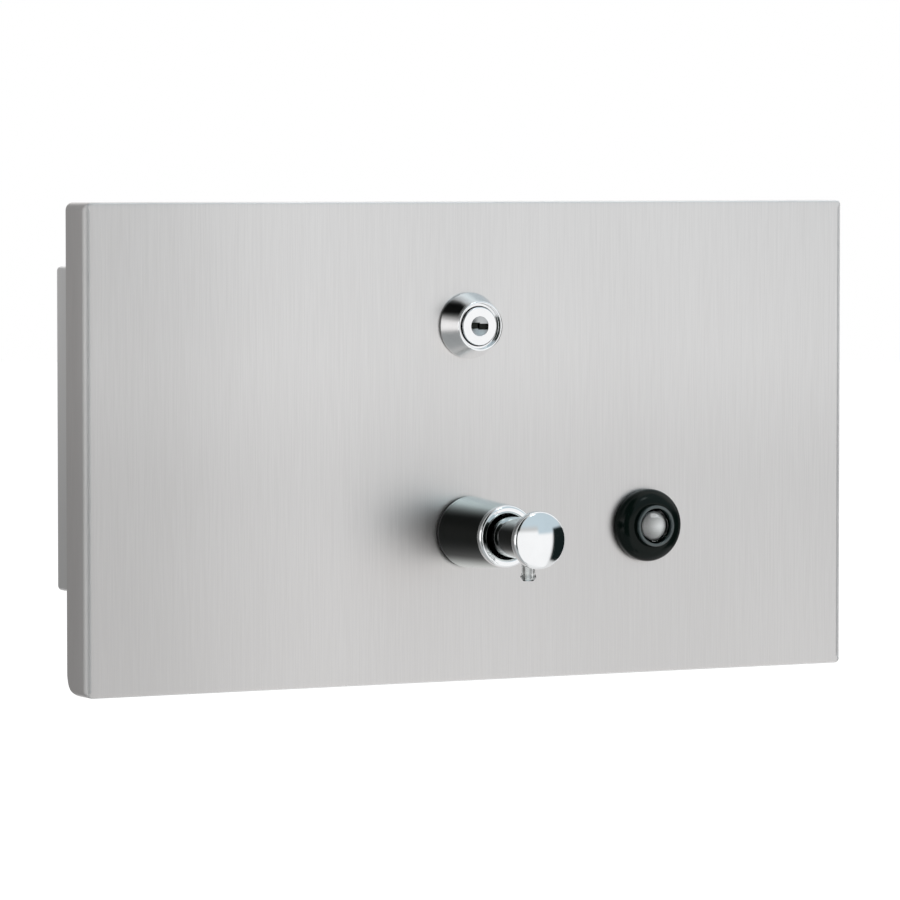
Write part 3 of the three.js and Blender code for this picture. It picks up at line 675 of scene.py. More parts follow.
# Painted shade: the nozzle darkens along its left and right sides, as dark surroundings would show through
# its edges
NOZZLE_PAINTED_SHADE = (
    Shade(0.75, (Band(0, -1.0, -0.0047, 0.0004),)),
    Shade(0.6, (Band(0, -0.0017, 1.0, 0.0004),)),
)
NOZZLE_CLEAR = ClearPlastic("nozzle_plastic", "clear_plastic", (0.95, 0.97, 0.97), 0.04, 1.49, NOZZLE_PAINTED_SHADE)
LENS_GLASS = ClearPlastic("sight_lens_glass", "sight_lens", (0.97, 0.98, 0.98), 0.03, 1.5)


# Surfaces


def quads(rows: int, columns: int, rows_close: bool, columns_close: bool) -> np.ndarray:
    """Lists the four-sided faces of a grid of points.

    Args:
        rows: Points in the first direction.
        columns: Points in the second direction.
        rows_close: True if the last row joins the first.
        columns_close: True if the last column joins the first.

    Returns:
        An array of faces, four point numbers each.
    """
    i = np.arange(rows if rows_close else rows - 1)[:, None]
    j = np.arange(columns if columns_close else columns - 1)[None, :]
    next_i = (i + 1) % rows
    next_j = (j + 1) % columns
    corners = (i * columns + j, next_i * columns + j, next_i * columns + next_j, i * columns + next_j)
    return np.stack(np.broadcast_arrays(*corners), axis=-1).reshape(-1, 4)


@dataclass
class Skin:
    """The points and faces of a closed surface, in millimetres."""

    points: np.ndarray
    faces: list[list[int]]

    @classmethod
    def of_grid(cls, grid: np.ndarray, rows_close: bool, columns_close: bool) -> "Skin":
        """Makes a surface of a grid of points.

        Args:
            grid: Points, by row and column.
            rows_close: True if the last row joins the first.
            columns_close: True if the last column joins the first.

        Returns:
            The surface.
        """
        rows, columns = grid.shape[:2]
        return cls(grid.reshape(-1, 3), quads(rows, columns, rows_close, columns_close).tolist())

    def moved(self, x: float = 0.0, y: float = 0.0, z: float = 0.0) -> "Skin":
        """Gives the surface moved by a distance along each axis."""
        return Skin(self.points + np.array((x, y, z)), self.faces)

    def joined(self, *others: "Skin") -> "Skin":
        """Gives this surface and others as one.

        Args:
            others: The other surfaces.

        Returns:
            One surface with all their points and faces.
        """
        points = self.points
        faces = list(self.faces)
        for other in others:
            start = len(points)
            faces.extend([[start + number for number in face] for face in other.faces])
            points = np.vstack((points, other.points))
        return Skin(points, faces)

    def capped(self, count: int) -> "Skin":
        """Gives this surface with its first and last loop closed by flat faces.

        Args:
            count: Points in each loop.

        Returns:
            The closed surface.
        """
        last = len(self.points)
        ends = [list(range(count)), list(range(last - count, last))]
        return Skin(self.points, [*self.faces, *ends])

    def mesh(self, name: str) -> bpy.types.Mesh:
        """Makes a mesh of it in metres, with its doubles merged, its normals outwards and its edges sharp.

        Args:
            name: The mesh's name.

        Returns:
            The mesh.
        """
        mesh = bpy.data.meshes.new(name)
        mesh.from_pydata((self.points * MM).tolist(), [], self.faces)
        build = bmesh.new()
        build.from_mesh(mesh)
        bmesh.ops.remove_doubles(build, verts=build.verts, dist=WELD * MM)
        bmesh.ops.recalc_face_normals(build, faces=build.faces)
        build.to_mesh(mesh)
        build.free()
        return smoothed(mesh)


def smoothed(mesh: bpy.types.Mesh) -> bpy.types.Mesh:
    """Shades a mesh smooth, apart from its sharp edges."""
    mesh.polygons.foreach_set("use_smooth", np.ones(len(mesh.polygons), bool))
    mesh.set_sharp_from_angle(angle=SHARP_ANGLE)
    mesh.update()
    return mesh


def smooth_rows(radius: Union[float, np.ndarray], height: np.ndarray) -> np.ndarray:
    """Gives points of a section that get no fillet.

    Args:
        radius: One radius, or each point's own.
        height: The points' heights.

    Returns:
        Rows of radius, height and the mark for no fillet.
    """
    radius, height = np.broadcast_arrays(radius, height)
    return np.stack((radius, height, np.full(height.shape, SMOOTH)), axis=1)


def arc(
    centre: Sequence[float],
    reach: Sequence[float],
    start: float,
    end: float,
    steps: int = 14,
) -> np.ndarray:
    """Gives points of an ellipse between two angles, as smooth points of a section.

    Args:
        centre: The ellipse's centre, as radius and height.
        reach: Its half-widths.
        start: The first angle in degrees, from the first axis towards the second.
        end: The last angle.
        steps: Steps between them.

    Returns:
        Smooth points of a section.
    """
    angle = np.radians(np.linspace(start, end, steps + 1))
    first = centre[0] + reach[0] * np.cos(angle)
    second = centre[1] + reach[1] * np.sin(angle)
    return smooth_rows(first, second)


def section(*parts: Sequence, closed: bool = True, steps: int = 5, hold: float = 0.05) -> np.ndarray:
    """Rounds the corners of a section.

    A fillet is the circle that touches both sides of a corner: between its two touching points it is
    the conic through them with the corner as its control point, weighted by the sine of half of the
    corner's angle. A point is held on each side just past the fillet, so that flat faces shade flat.

    Args:
        parts: Corners as (radius, height, fillet), or arrays of such rows.
        closed: True if the last corner joins the first.
        steps: Steps in each fillet.
        hold: Distance of the held points from the fillet.

    Returns:
        The section's points, as radius and height.
    """
    rows = np.vstack([np.atleast_2d(np.asarray(part, float)) for part in parts])
    corner = rows[:, :2]
    fillet = rows[:, 2]
    smooth = fillet < 0
    back = np.roll(corner, 1, axis=0) - corner
    ahead = np.roll(corner, -1, axis=0) - corner
    back_length = np.linalg.norm(back, axis=1)
    ahead_length = np.linalg.norm(ahead, axis=1)
    back /= np.maximum(back_length, 1e-9)[:, None]
    ahead /= np.maximum(ahead_length, 1e-9)[:, None]
    half = np.arccos(np.clip(np.sum(back * ahead, axis=1), -0.9999, 0.9999)) / 2
    room = np.minimum(back_length, ahead_length) * 0.46
    reach = np.minimum(np.maximum(fillet, 0) / np.tan(half), room)
    held = reach + np.minimum(hold, room - reach * 0.99)
    ends = smooth.copy()
    if not closed:
        ends[[0, -1]] = True
    reach[ends] = 0
    held[ends] = 0
    start = (corner + back * reach[:, None])[:, None, :]
    end = (corner + ahead * reach[:, None])[:, None, :]
    share = np.linspace(0, 1, steps + 1)[None, :, None]
    pull = 2 * share * (1 - share) * np.sin(half)[:, None, None]
    weight = (1 - share) ** 2 + pull + share**2
    curve = ((1 - share) ** 2 * start + pull * corner[:, None, :] + share**2 * end) / weight
    before = (corner + back * held[:, None])[:, None, :]
    after = (corner + ahead * held[:, None])[:, None, :]
    points = np.concatenate((before, curve, after), axis=1)
    kept = np.ones(points.shape[:2], bool)
    kept[ends, 1:] = False
    return points[kept]


def turned(
    outline: np.ndarray,
    closed: bool = True,
    axis: Axis = Axis.DEPTH,
    count: int = 96,
    shape: Optional[Callable[[np.ndarray, np.ndarray, np.ndarray], np.ndarray]] = None,
) -> Skin:
    """Turns a section about an axis.

    At angle a, a section point of radius r and height h lies at r cos a and r sin a across the axis,
    and at h along it. A shape may change r by angle and height, as on a hexagon or a knurl.

    Args:
        outline: The section's points, as radius and height.
        closed: True if the section is a loop, and False if both of its ends lie on the axis.
        axis: The axis.
        count: Steps in the turn.
        shape: A function of angle, radius and height that gives the radius.

    Returns:
        The surface.
    """
    angle = np.linspace(0, FULL_TURN, count, endpoint=False)[:, None]
    radius = np.broadcast_to(outline[None, :, 0], (count, len(outline)))
    height = np.broadcast_to(outline[None, :, 1], (count, len(outline)))
    if shape is not None:
        radius = shape(angle, radius, height)
    first = radius * np.cos(angle)
    second = radius * np.sin(angle)
    order = (first, height, second) if axis is Axis.DEPTH else (first, second, height)
    return Skin.of_grid(np.stack(order, axis=-1), True, closed)


def hexagon(inner: float, low: float, high: float, bevel: float = 30.0) -> Callable[..., np.ndarray]:
    """Gives the shape of a hexagon whose end faces are bevelled by a cone.

    The radius at angle a is the inner radius over the cosine of a's distance from the nearest flat's
    middle, but no more than a cone that starts at the inner radius on each end face. Points inside
    the inner radius stay as they are.

    Args:
        inner: Half of the width across flats.
        low: The lower end face.
        high: The upper end face.
        bevel: The cone's angle to the end face in degrees.

    Returns:
        The shape.
    """

    def shape(angle: np.ndarray, radius: np.ndarray, height: np.ndarray) -> np.ndarray:
        """Gives the hexagon's radius."""
        sixth = HALF_TURN / 3
        aside = (angle + sixth / 2) % sixth - sixth / 2
        flat = inner / np.cos(aside)
        depth = np.minimum(height - low, high - height)
        cone = inner * 0.97 + depth / math.tan(math.radians(bevel))
        outer = np.minimum(flat, cone)
        return np.where(radius > inner * 0.98, np.minimum(outer, radius), radius)

    return shape


def swept(
    path: np.ndarray,
    radii: np.ndarray,
    aside: Sequence[float],
    count: int,
    closed: bool = False,
) -> Skin:
    """Carries a circle along a path.

    Each circle stands square to the path: one of its axes is the path's direction crossed with a
    fixed direction, and the other is square to both.

    Args:
        path: The path's points.
        radii: The circle's radius at each point, 0 at a closed end.
        aside: The fixed direction, which the path never follows.
        count: Points in the circle.
        closed: True if the last circle joins the first, as on a tube that is carried out and back.

    Returns:
        The surface.
    """
    along = np.gradient(path, axis=0)
    if closed:
        half = len(path) // 2
        along = np.gradient(path[:half], axis=0)
        along = np.vstack((along, along[::-1]))
    still = np.linalg.norm(along, axis=1) < 1e-9
    along[still] = np.roll(along, 1, axis=0)[still]
    along /= np.linalg.norm(along, axis=1)[:, None]
    first = np.cross(along, np.asarray(aside, float))
    first /= np.linalg.norm(first, axis=1)[:, None]
    second = np.cross(along, first)
    angle = np.linspace(0, FULL_TURN, count, endpoint=False)[None, :, None]
    ring = np.cos(angle) * first[:, None, :] + np.sin(angle) * second[:, None, :]
    return Skin.of_grid(path[:, None, :] + radii[:, None, None] * ring, closed, True)


@dataclass
class Outline:
    """A rounded rectangle as points with outward directions, from its right side round by its top."""

    points: np.ndarray
    outward: np.ndarray

    @classmethod
    def rectangle(
        cls,
        low: Sequence[float],
        high: Sequence[float],
        corner: float,
        corner_steps: int = 8,
        side_steps: int = 12,
    ) -> "Outline":
        """Samples a rounded rectangle.

        Each corner is a quarter circle, and each side has points spaced closer to its ends, by the
        cosine of an even spacing.

        Args:
            low: Its lowest corner on its two axes.
            high: Its highest corner.
            corner: Its corner radius.
            corner_steps: Steps in each corner.
            side_steps: Steps in each side.

        Returns:
            The outline.
        """
        low = np.asarray(low, float) + corner
        high = np.asarray(high, float) - corner
        centres = np.array(((high[0], low[1]), (high[0], high[1]), (low[0], high[1]), (low[0], low[1])))
        starts = np.radians(np.array((-90.0, 0.0, 90.0, 180.0)))
        turn = starts[:, None] + np.linspace(0, HALF_TURN / 2, corner_steps + 1)[None, :]
        outward = np.stack((np.cos(turn), np.sin(turn)), axis=-1)
        points = centres[:, None, :] + corner * outward
        spread = (1 - np.cos(np.linspace(0, HALF_TURN, side_steps + 1)[1:-1])) / 2
        start = points[:, -1, None, :]
        end = np.roll(points[:, 0], -1, axis=0)[:, None, :]
        sides = start + (end - start) * spread[None, :, None]
        side_outward = np.broadcast_to(outward[:, -1, None, :], sides.shape)
        return cls(
            np.concatenate((points, sides), axis=1).reshape(-1, 2),
            np.concatenate((outward, side_outward), axis=1).reshape(-1, 2),
        )

    def inset(self, distance: Union[float, np.ndarray]) -> np.ndarray:
        """Gives the outline's points moved inwards by one distance, or each by its own."""
        return self.points - np.reshape(distance, (-1, 1)) * self.outward


def raised(loops: Sequence[np.ndarray], depths: Sequence[Union[float, np.ndarray]], axis: Axis) -> np.ndarray:
    """Sets loops of points at depths along an axis.

    Args:
        loops: Loops of points on the two other axes, with one count.
        depths: Each loop's place along the axis, for the whole loop or for each point.
        axis: The axis.

    Returns:
        The points by loop.
    """
    rows = []
    for loop, depth in zip(loops, depths):
        place = np.broadcast_to(np.asarray(depth, float), (len(loop),))
        order = (loop[:, 0], place, loop[:, 1]) if axis is Axis.DEPTH else (loop[:, 0], loop[:, 1], place)
        rows.append(np.stack(order, axis=-1))
    return np.stack(rows)


def quarter(steps: int) -> tuple[np.ndarray, np.ndarray]:
    """Gives how far a quarter bend has gone in and on, each from 0 to 1.

    Args:
        steps: Steps in the bend.

    Returns:
        One less the sine, and one less the cosine, of an angle that grows to a quarter turn.
    """
    angle = np.linspace(0, HALF_TURN / 2, steps + 1)
    return 1 - np.sin(angle), 1 - np.cos(angle)


# Placing pieces


@dataclass(frozen=True)
class Seat:
    """The box of a CAD node at rest, in millimetres."""

    low: np.ndarray
    high: np.ndarray

    @classmethod
    def of(cls, node: str) -> "Seat":
        """Reads a node's box.

        Args:
            node: The node's name.

        Returns:
            Its seat.
        """
        low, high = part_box(node)
        return cls(np.array(low) / MM, np.array(high) / MM)

    @property
    def middle(self) -> np.ndarray:
        """The box's middle."""
        return (self.low + self.high) / 2

    @property
    def size(self) -> np.ndarray:
        """The box's size."""
        return self.high - self.low

    def axis(self, axis: Axis) -> np.ndarray:
        """Gives the point where the box's middle line along an axis starts, at 0 on that axis."""
        point = self.middle
        point[axis.number] = 0.0
        return point


def placed(
    name: str,
    skin: Skin,
    finish: Finish,
    body: Body,
    nodes: Sequence[str],
    cutters: Sequence[Skin] = (),
    at: Sequence[float] = (0.0, 0.0, 0.0),
) -> bpy.types.Object:
    """Makes a piece, cuts it, dresses it, and lets it ride on its body in place of CAD nodes.

    Args:
        name: The piece's name.
        skin: Its surface.
        finish: Its finish.
        body: The body that it rides on.
        nodes: The CAD nodes that it stands for.
        cutters: Closed surfaces that are cut out of it.
        at: The place that it and its cutters are moved to.

    Returns:
        The piece.
    """
    piece = bpy.data.objects.new(name, skin.moved(*at).mesh(name))
    bpy.context.scene.collection.objects.link(piece)
    if cutters:
        carve(piece, [cutter.moved(*at) for cutter in cutters])
    piece.data.materials.clear()
    piece.data.materials.append(finish.material())
    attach(piece, body.value)
    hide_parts(*nodes)
    log.info("%s: %d faces, in place of %s", name, len(piece.data.polygons), ", ".join(nodes))
    return piece


def carve(piece: bpy.types.Object, cutters: Sequence[Skin]) -> None:
    """Cuts closed surfaces out of a piece and keeps the result as its mesh.

    Args:
        piece: The piece.
        cutters: The surfaces.
    """
    tools = []
    for number, cutter in enumerate(cutters):
        tool = bpy.data.objects.new(f"cutter_{number}", cutter.mesh(f"cutter_{number}"))
        bpy.context.scene.collection.objects.link(tool)
        modifier = piece.modifiers.new(tool.name, "BOOLEAN")
        modifier.operation = "DIFFERENCE"
        modifier.solver = "EXACT"
        modifier.object = tool
        tools.append(tool)
    bpy.context.view_layer.update()
    shown = piece.evaluated_get(bpy.context.evaluated_depsgraph_get())
    carved = bpy.data.meshes.new_from_object(shown)
    piece.modifiers.clear()
    piece.data = carved
    piece.data.name = piece.name
    for tool in tools:
        bpy.data.objects.remove(tool)
    smoothed(piece.data)


def dressed(finish: Finish, *nodes: str) -> None:
    """Gives CAD nodes that stay a finish.

    Args:
        finish: The finish.
        nodes: The nodes' names.
    """
    for name in nodes:
        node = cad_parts[name]
        node.data.materials.clear()
        node.data.materials.append(finish.material())
    log.info("%s on %s", finish.name, ", ".join(nodes))


def thread_rows(radius: float, start: float, end: float, pitch: float, steps: int = 8) -> np.ndarray:
    """Gives a section's points along a threaded part.

    Args:
        radius: The thread's crest.
        start: Its first height.
        end: Its last height.
        pitch: Its rise in each turn.
        steps: Points in each rise.

    Returns:
        Smooth points of a section.
    """
    count = int((end - start) / pitch * steps) + 1
    return smooth_rows(radius, np.linspace(start, end, count))


def threaded(
    radius: float,
    start: float,
    end: float,
    pitch: float,
    depth: float = 0.45,
) -> Callable[..., np.ndarray]:
    """Gives the shape of a screw thread.

    The groove's depth is a rounded saw wave of the height over the pitch less the turn's share, and
    fades out over a pitch at both ends.

    Args:
        radius: The thread's crest.
        start: Its first height.
        end: Its last height.
        pitch: Its rise in each turn.
        depth: The groove's depth.

    Returns:
        The shape.
    """

    def shape(angle: np.ndarray, at: np.ndarray, height: np.ndarray) -> np.ndarray:
        """Gives the thread's radius."""
        wave = 0.5 - 0.5 * np.cos(FULL_TURN * (height / pitch - angle / FULL_TURN))
        fade = np.clip(np.minimum(height - start, end - height) / pitch, 0, 1)
        crest = (np.abs(at - radius) < 1e-6) & (height >= start) & (height <= end)
        return np.where(crest, at - depth * wave * fade, at)

    return shape


def hexagonal_nut(node: str, finish: Finish, radius: float, bore: float, chamfer: float = 0.4) -> None:
    """Makes a hexagonal nut about Y in the place of a CAD node.

    Args:
        node: The node's name.
        finish: Its finish.
        radius: The nut's radius to its corners.
        bore: The bore's radius.
        chamfer: How far the bore opens at its ends.
    """
    seat = Seat.of(node)
    low, high = seat.low[1], seat.high[1]
    share = np.array((0.0, 0.04, 0.1, 0.17, 0.25, 0.34, 0.45, 0.55, 0.66, 0.75, 0.83, 0.9, 0.96, 1.0))
    height = low + (high - low) * share
    inner = radius * math.cos(HALF_TURN / 6)
    outline = section(
        (bore + chamfer, low, 0.05),
        (inner * 0.9, low, SMOOTH),
        smooth_rows(radius, height),
        (inner * 0.9, high, SMOOTH),
        (bore + chamfer, high, 0.05),
        (bore, high - chamfer, 0.05),
        (bore, low + chamfer, 0.05),
    )
    skin = turned(outline, shape=hexagon(inner, low, high))
    placed(f"{node}_turned", skin, finish, Body.PANEL, [node], at=seat.axis(Axis.DEPTH))


def rubber_ring(
    node: str,
    radius: float,
    bore: float,
    axis: Axis = Axis.DEPTH,
    body: Body = Body.PANEL,
) -> None:
    """Makes a flat rubber ring in the place of a CAD node.

    Args:
        node: The node's name.
        radius: Its outer radius.
        bore: Its inner radius.
        axis: Its axis.
        body: The body that it rides on.
    """
    seat = Seat.of(node)
    low, high = seat.low[axis.number], seat.high[axis.number]
    soft = (high - low) * 0.3
    outline = section(
        (radius, low, soft),
        (radius, high, soft),
        (bore, high, soft / 2),
        (bore, low, soft / 2),
    )
    placed(f"{node}_ring", turned(outline, axis=axis), RUBBER, body, [node], at=seat.axis(axis))


def sector(inner: float, outer: float, low: float, high: float, middle: float, span: float) -> Skin:
    """Gives a piece of a ring about Z: a rectangle carried through an angle, closed at both ends.

    Args:
        inner: Inner radius.
        outer: Outer radius.
        low: Lowest height.
        high: Highest height.
        middle: The angle of its middle.
        span: The angle that it takes.

    Returns:
        The surface.
    """
    loop = section((inner, low, 0.0), (outer, low, 0.25), (outer, high, 0.25), (inner, high, 0.0))
    angle = np.linspace(middle - span / 2, middle + span / 2, 17)[:, None]
    x = loop[None, :, 0] * np.cos(angle)
    y = loop[None, :, 0] * np.sin(angle)
    z = np.broadcast_to(loop[None, :, 1], x.shape)
    return Skin.of_grid(np.stack((x, y, z), axis=-1), False, True).capped(len(loop))


def slab(loops: Sequence[np.ndarray], depths: Sequence[float], axis: Axis) -> Skin:
    """Gives a solid between loops along an axis, closed by flat faces at its ends.

    Args:
        loops: Loops of points.
        depths: Each loop's place along the axis.
        axis: The axis.

    Returns:
        The surface.
    """
    return Skin.of_grid(raised(loops, depths, axis), False, True).capped(len(loops[0]))


def rounded_slab(outline: Outline, low: float, high: float, soft: float, axis: Axis) -> Skin:
    """Gives a plate with softly bent edges.

    Args:
        outline: Its outline.
        low: Its lower face.
        high: Its upper face.
        soft: The radius of its edges.
        axis: The axis across it.

    Returns:
        The surface.
    """
    insets, steps = quarter(4)
    loops = [outline.inset(soft * inset) for inset in insets]
    depths = [low + soft * step for step in steps]
    mirrored = [high - soft * step for step in steps]
    hold = outline.inset(soft + 0.1)
    return slab([hold, *loops, *loops[::-1], hold], [low, *depths, *mirrored[::-1], high], axis)


def cylinder(radius: float, low: float, high: float, axis: Axis = Axis.DEPTH, count: int = 64) -> Skin:
    """Gives a plain cylinder for cutting."""
    outline = np.array(((0.0, low), (radius, low), (radius, high), (0.0, high)))
    return turned(outline, False, axis, count)


def cuboid(low: Sequence[float], high: Sequence[float]) -> Skin:
    """Gives a plain box for cutting, from its two corners."""
    x, y, z = ((low[i], high[i]) for i in range(3))
    points = np.array([(a, b, c) for a in x for b in y for c in z])
    faces = [[0, 1, 3, 2], [4, 6, 7, 5], [0, 4, 5, 1], [2, 3, 7, 6], [0, 2, 6, 4], [1, 5, 7, 3]]
    return Skin(points, faces)


# Sub-assemblies


@dataclass
class FrontPanel:
    """The folded satin panel."""

    sheet: float = 1.2
    bend: float = 2.0
    fold: float = 0.5
    tightest: float = 0.05
    corner: float = 2.3
    edge: float = 0.12
    depth: float = 13.4
    low_depth: float = 11.0
    foot: float = 6.5
    bend_steps: int = 7
    side_steps: int = 60
    hold: float = 0.12
    hole_steps: int = 64
    lock_hole: float = 7.8
    valve_hole: float = 8.3
    sight_hole: float = 7.8

    def build(self) -> None:
        """Makes the panel, with its side bends wider than the folds of its top and bottom."""
        seat = Seat.of("front_panel")
        self.front = seat.low[1]
        outline = Outline.rectangle(
            seat.low[[0, 2]], seat.high[[0, 2]], self.corner, side_steps=self.side_steps
        )
        rear = self.rear_depths(outline, seat)
        insets, steps = quarter(self.bend_steps)
        bend = self.fold + (self.bend - self.fold) * outline.outward[:, 0] ** 4
        inner = np.maximum(bend - self.sheet, self.tightest)
        outer_loops = [outline.inset(bend * inset) for inset in insets]
        outer_depths = [self.front + bend * step for step in steps]
        edge_loops = [outline.points, outline.inset(self.edge), outline.inset(self.sheet - self.edge)]
        edge_loops.append(outline.inset(self.sheet))
        edge_depths = [rear - self.edge, rear, rear, rear - self.edge]
        inner_loops = [outline.inset(self.sheet + inner * inset) for inset in insets[::-1]]
        inner_depths = [self.front + self.sheet + inner * step for step in steps[::-1]]
        first = outline.inset(np.maximum(bend, self.sheet + inner) + self.hold)
        walls = Skin.of_grid(
            raised(
                [first, *outer_loops, *edge_loops, *inner_loops, first],
                [self.front, *outer_depths, *edge_depths, *inner_depths, self.front + self.sheet],
                Axis.DEPTH,
            ),
            False,
            True,
        )
        skin = walls.joined(*self.faces(first))
        placed("panel_sheet", skin, SATIN_PANEL, Body.PANEL, ["front_panel"])

    def rear_depths(self, outline: Outline, seat: Seat) -> np.ndarray:
        """Works out where the returns end behind each point of the outline.

        The side returns end on a line, apart from a quarter circle at their lower end. The bottom
        return is shorter.

        Args:
            outline: The outline.
            seat: The panel's box.

        Returns:
            The depth at each point.
        """
        x, z = outline.points.T
        rise = np.clip(z - seat.low[2], 0, self.foot)
        drop = self.foot - np.sqrt(self.foot**2 - (self.foot - rise) ** 2)
        side = self.front + self.depth - drop
        flat = np.abs(x) < seat.high[0] - self.sheet - 0.3
        low = (z < seat.low[2] + 0.01) & flat
        return np.where(low, self.front + self.low_depth, side)

    def faces(self, loop: np.ndarray) -> list[Skin]:
        """Makes the flat front and back of the panel with their holes, and the holes' walls.

        The flat is the loop's inside less three circles, divided into triangles.

        Args:
            loop: The flat's edge.

        Returns:
            The surfaces.
        """
        angle = np.linspace(0, FULL_TURN, self.hole_steps, endpoint=False)
        circle = np.stack((np.cos(angle), np.sin(angle)), axis=1)
        fittings = ("lock_housing", "valve_body", "sight_bezel")
        radii = (self.lock_hole, self.valve_hole, self.sight_hole)
        holes = [(Seat.of(node).middle[[0, 2]], radius) for node, radius in zip(fittings, radii)]
        points = np.vstack([loop, *(centre + radius * circle for centre, radius in holes)])
        edges = []
        for number in range(len(holes)):
            start = len(loop) + number * self.hole_steps
            ring = np.arange(self.hole_steps)
            edges.extend(np.stack((start + ring, start + (ring + 1) % self.hole_steps), axis=1).tolist())
        border = [list(range(len(loop)))]
        flat = delaunay_2d_cdt([Vector(p) for p in points], edges, border, 1, 1e-6)
        found = np.array([tuple(p) for p in flat[0]])
        triangles = np.array(flat[2])
        middle = found[triangles].mean(axis=1)
        kept = np.ones(len(triangles), bool)
        for centre, radius in holes:
            kept &= np.linalg.norm(middle - centre, axis=1) > radius * 0.999
        back = self.front + self.sheet
        skins = []
        for depth in (self.front, back):
            spread = np.column_stack((found[:, 0], np.full(len(found), depth), found[:, 1]))
            skins.append(Skin(spread, triangles[kept].tolist()))
        for centre, radius in holes:
            ring = centre + radius * circle
            skins.append(Skin.of_grid(raised([ring, ring], [self.front, back], Axis.DEPTH), False, True))
        return skins


@dataclass
class WallBox:
    """The folded box in the wall, its keeper and the hinge."""

    sheet: float = 1.2
    corner: float = 1.5
    edge: float = 1.3
    cut_edge: float = 0.12
    mouth_bend: float = 1.5
    flange_corner: float = 4.0
    side_reach: float = 96.5
    half_height: float = 49.0
    anchor_radius: float = 2.6
    anchor_depth: float = -50.0
    anchor_rise: float = 28.0
    bend_steps: int = 6

    def build(self) -> None:
        """Makes the wall box and dresses the keeper and hinge."""
        seat = Seat.of("wall_box")
        reach = np.array((self.side_reach, self.half_height))
        wall = Outline.rectangle(-reach, reach, self.corner)
        flange = Outline.rectangle(seat.low[[0, 2]], seat.high[[0, 2]], self.flange_corner)
        front = seat.low[1]
        face = front + self.sheet
        insets, steps = quarter(self.bend_steps)
        back = [wall.inset(self.edge * inset) for inset in insets]
        back_depths = [-self.edge * step for step in steps]
        inner = self.edge - self.sheet
        inside = [wall.inset(self.sheet + inner * inset) for inset in insets[::-1]]
        inside_depths = [-self.sheet - inner * step for step in steps[::-1]]
        mouth = [wall.inset(self.sheet - self.mouth_bend * (1 - inset)) for inset in insets[::-1]]
        mouth_depths = [front + self.mouth_bend * step for step in steps[::-1]]
        root = wall.inset(-HAIR)
        flange_loops = [flange.inset(inset) for inset in (self.cut_edge, 0.0, 0.0, self.cut_edge)]
        flange_depths = [front, front + self.cut_edge, face - self.cut_edge, face]
        loops = [*back, root, *flange_loops[::-1], *mouth[::-1], *inside]
        depths = [*back_depths, face, *flange_depths[::-1], *mouth_depths[::-1], *inside_depths]
        skin = slab(loops, depths, Axis.DEPTH)
        placed("wall_box_sheet", skin, BOX_STEEL, Body.WALL, ["wall_box"], self.anchors())
        dressed(PLAIN_STEEL, "latch_keeper", "hinge_leaf_fixed", "hinge_pin", "hinge_leaf_panel")

    def anchors(self) -> list[Skin]:
        """Gives the screw holes in the box's sides.

        Returns:
            A cylinder along X for each hole.
        """
        rod = cylinder(self.anchor_radius, -3.0, 3.0, Axis.DEPTH, 32)
        across = Skin(rod.points[:, [1, 0, 2]], rod.faces)
        middle = self.side_reach - self.sheet / 2
        return [
            across.moved(side * middle, self.anchor_depth, level * self.anchor_rise)
            for side in (-1, 1)
            for level in (-1, 1)
        ]


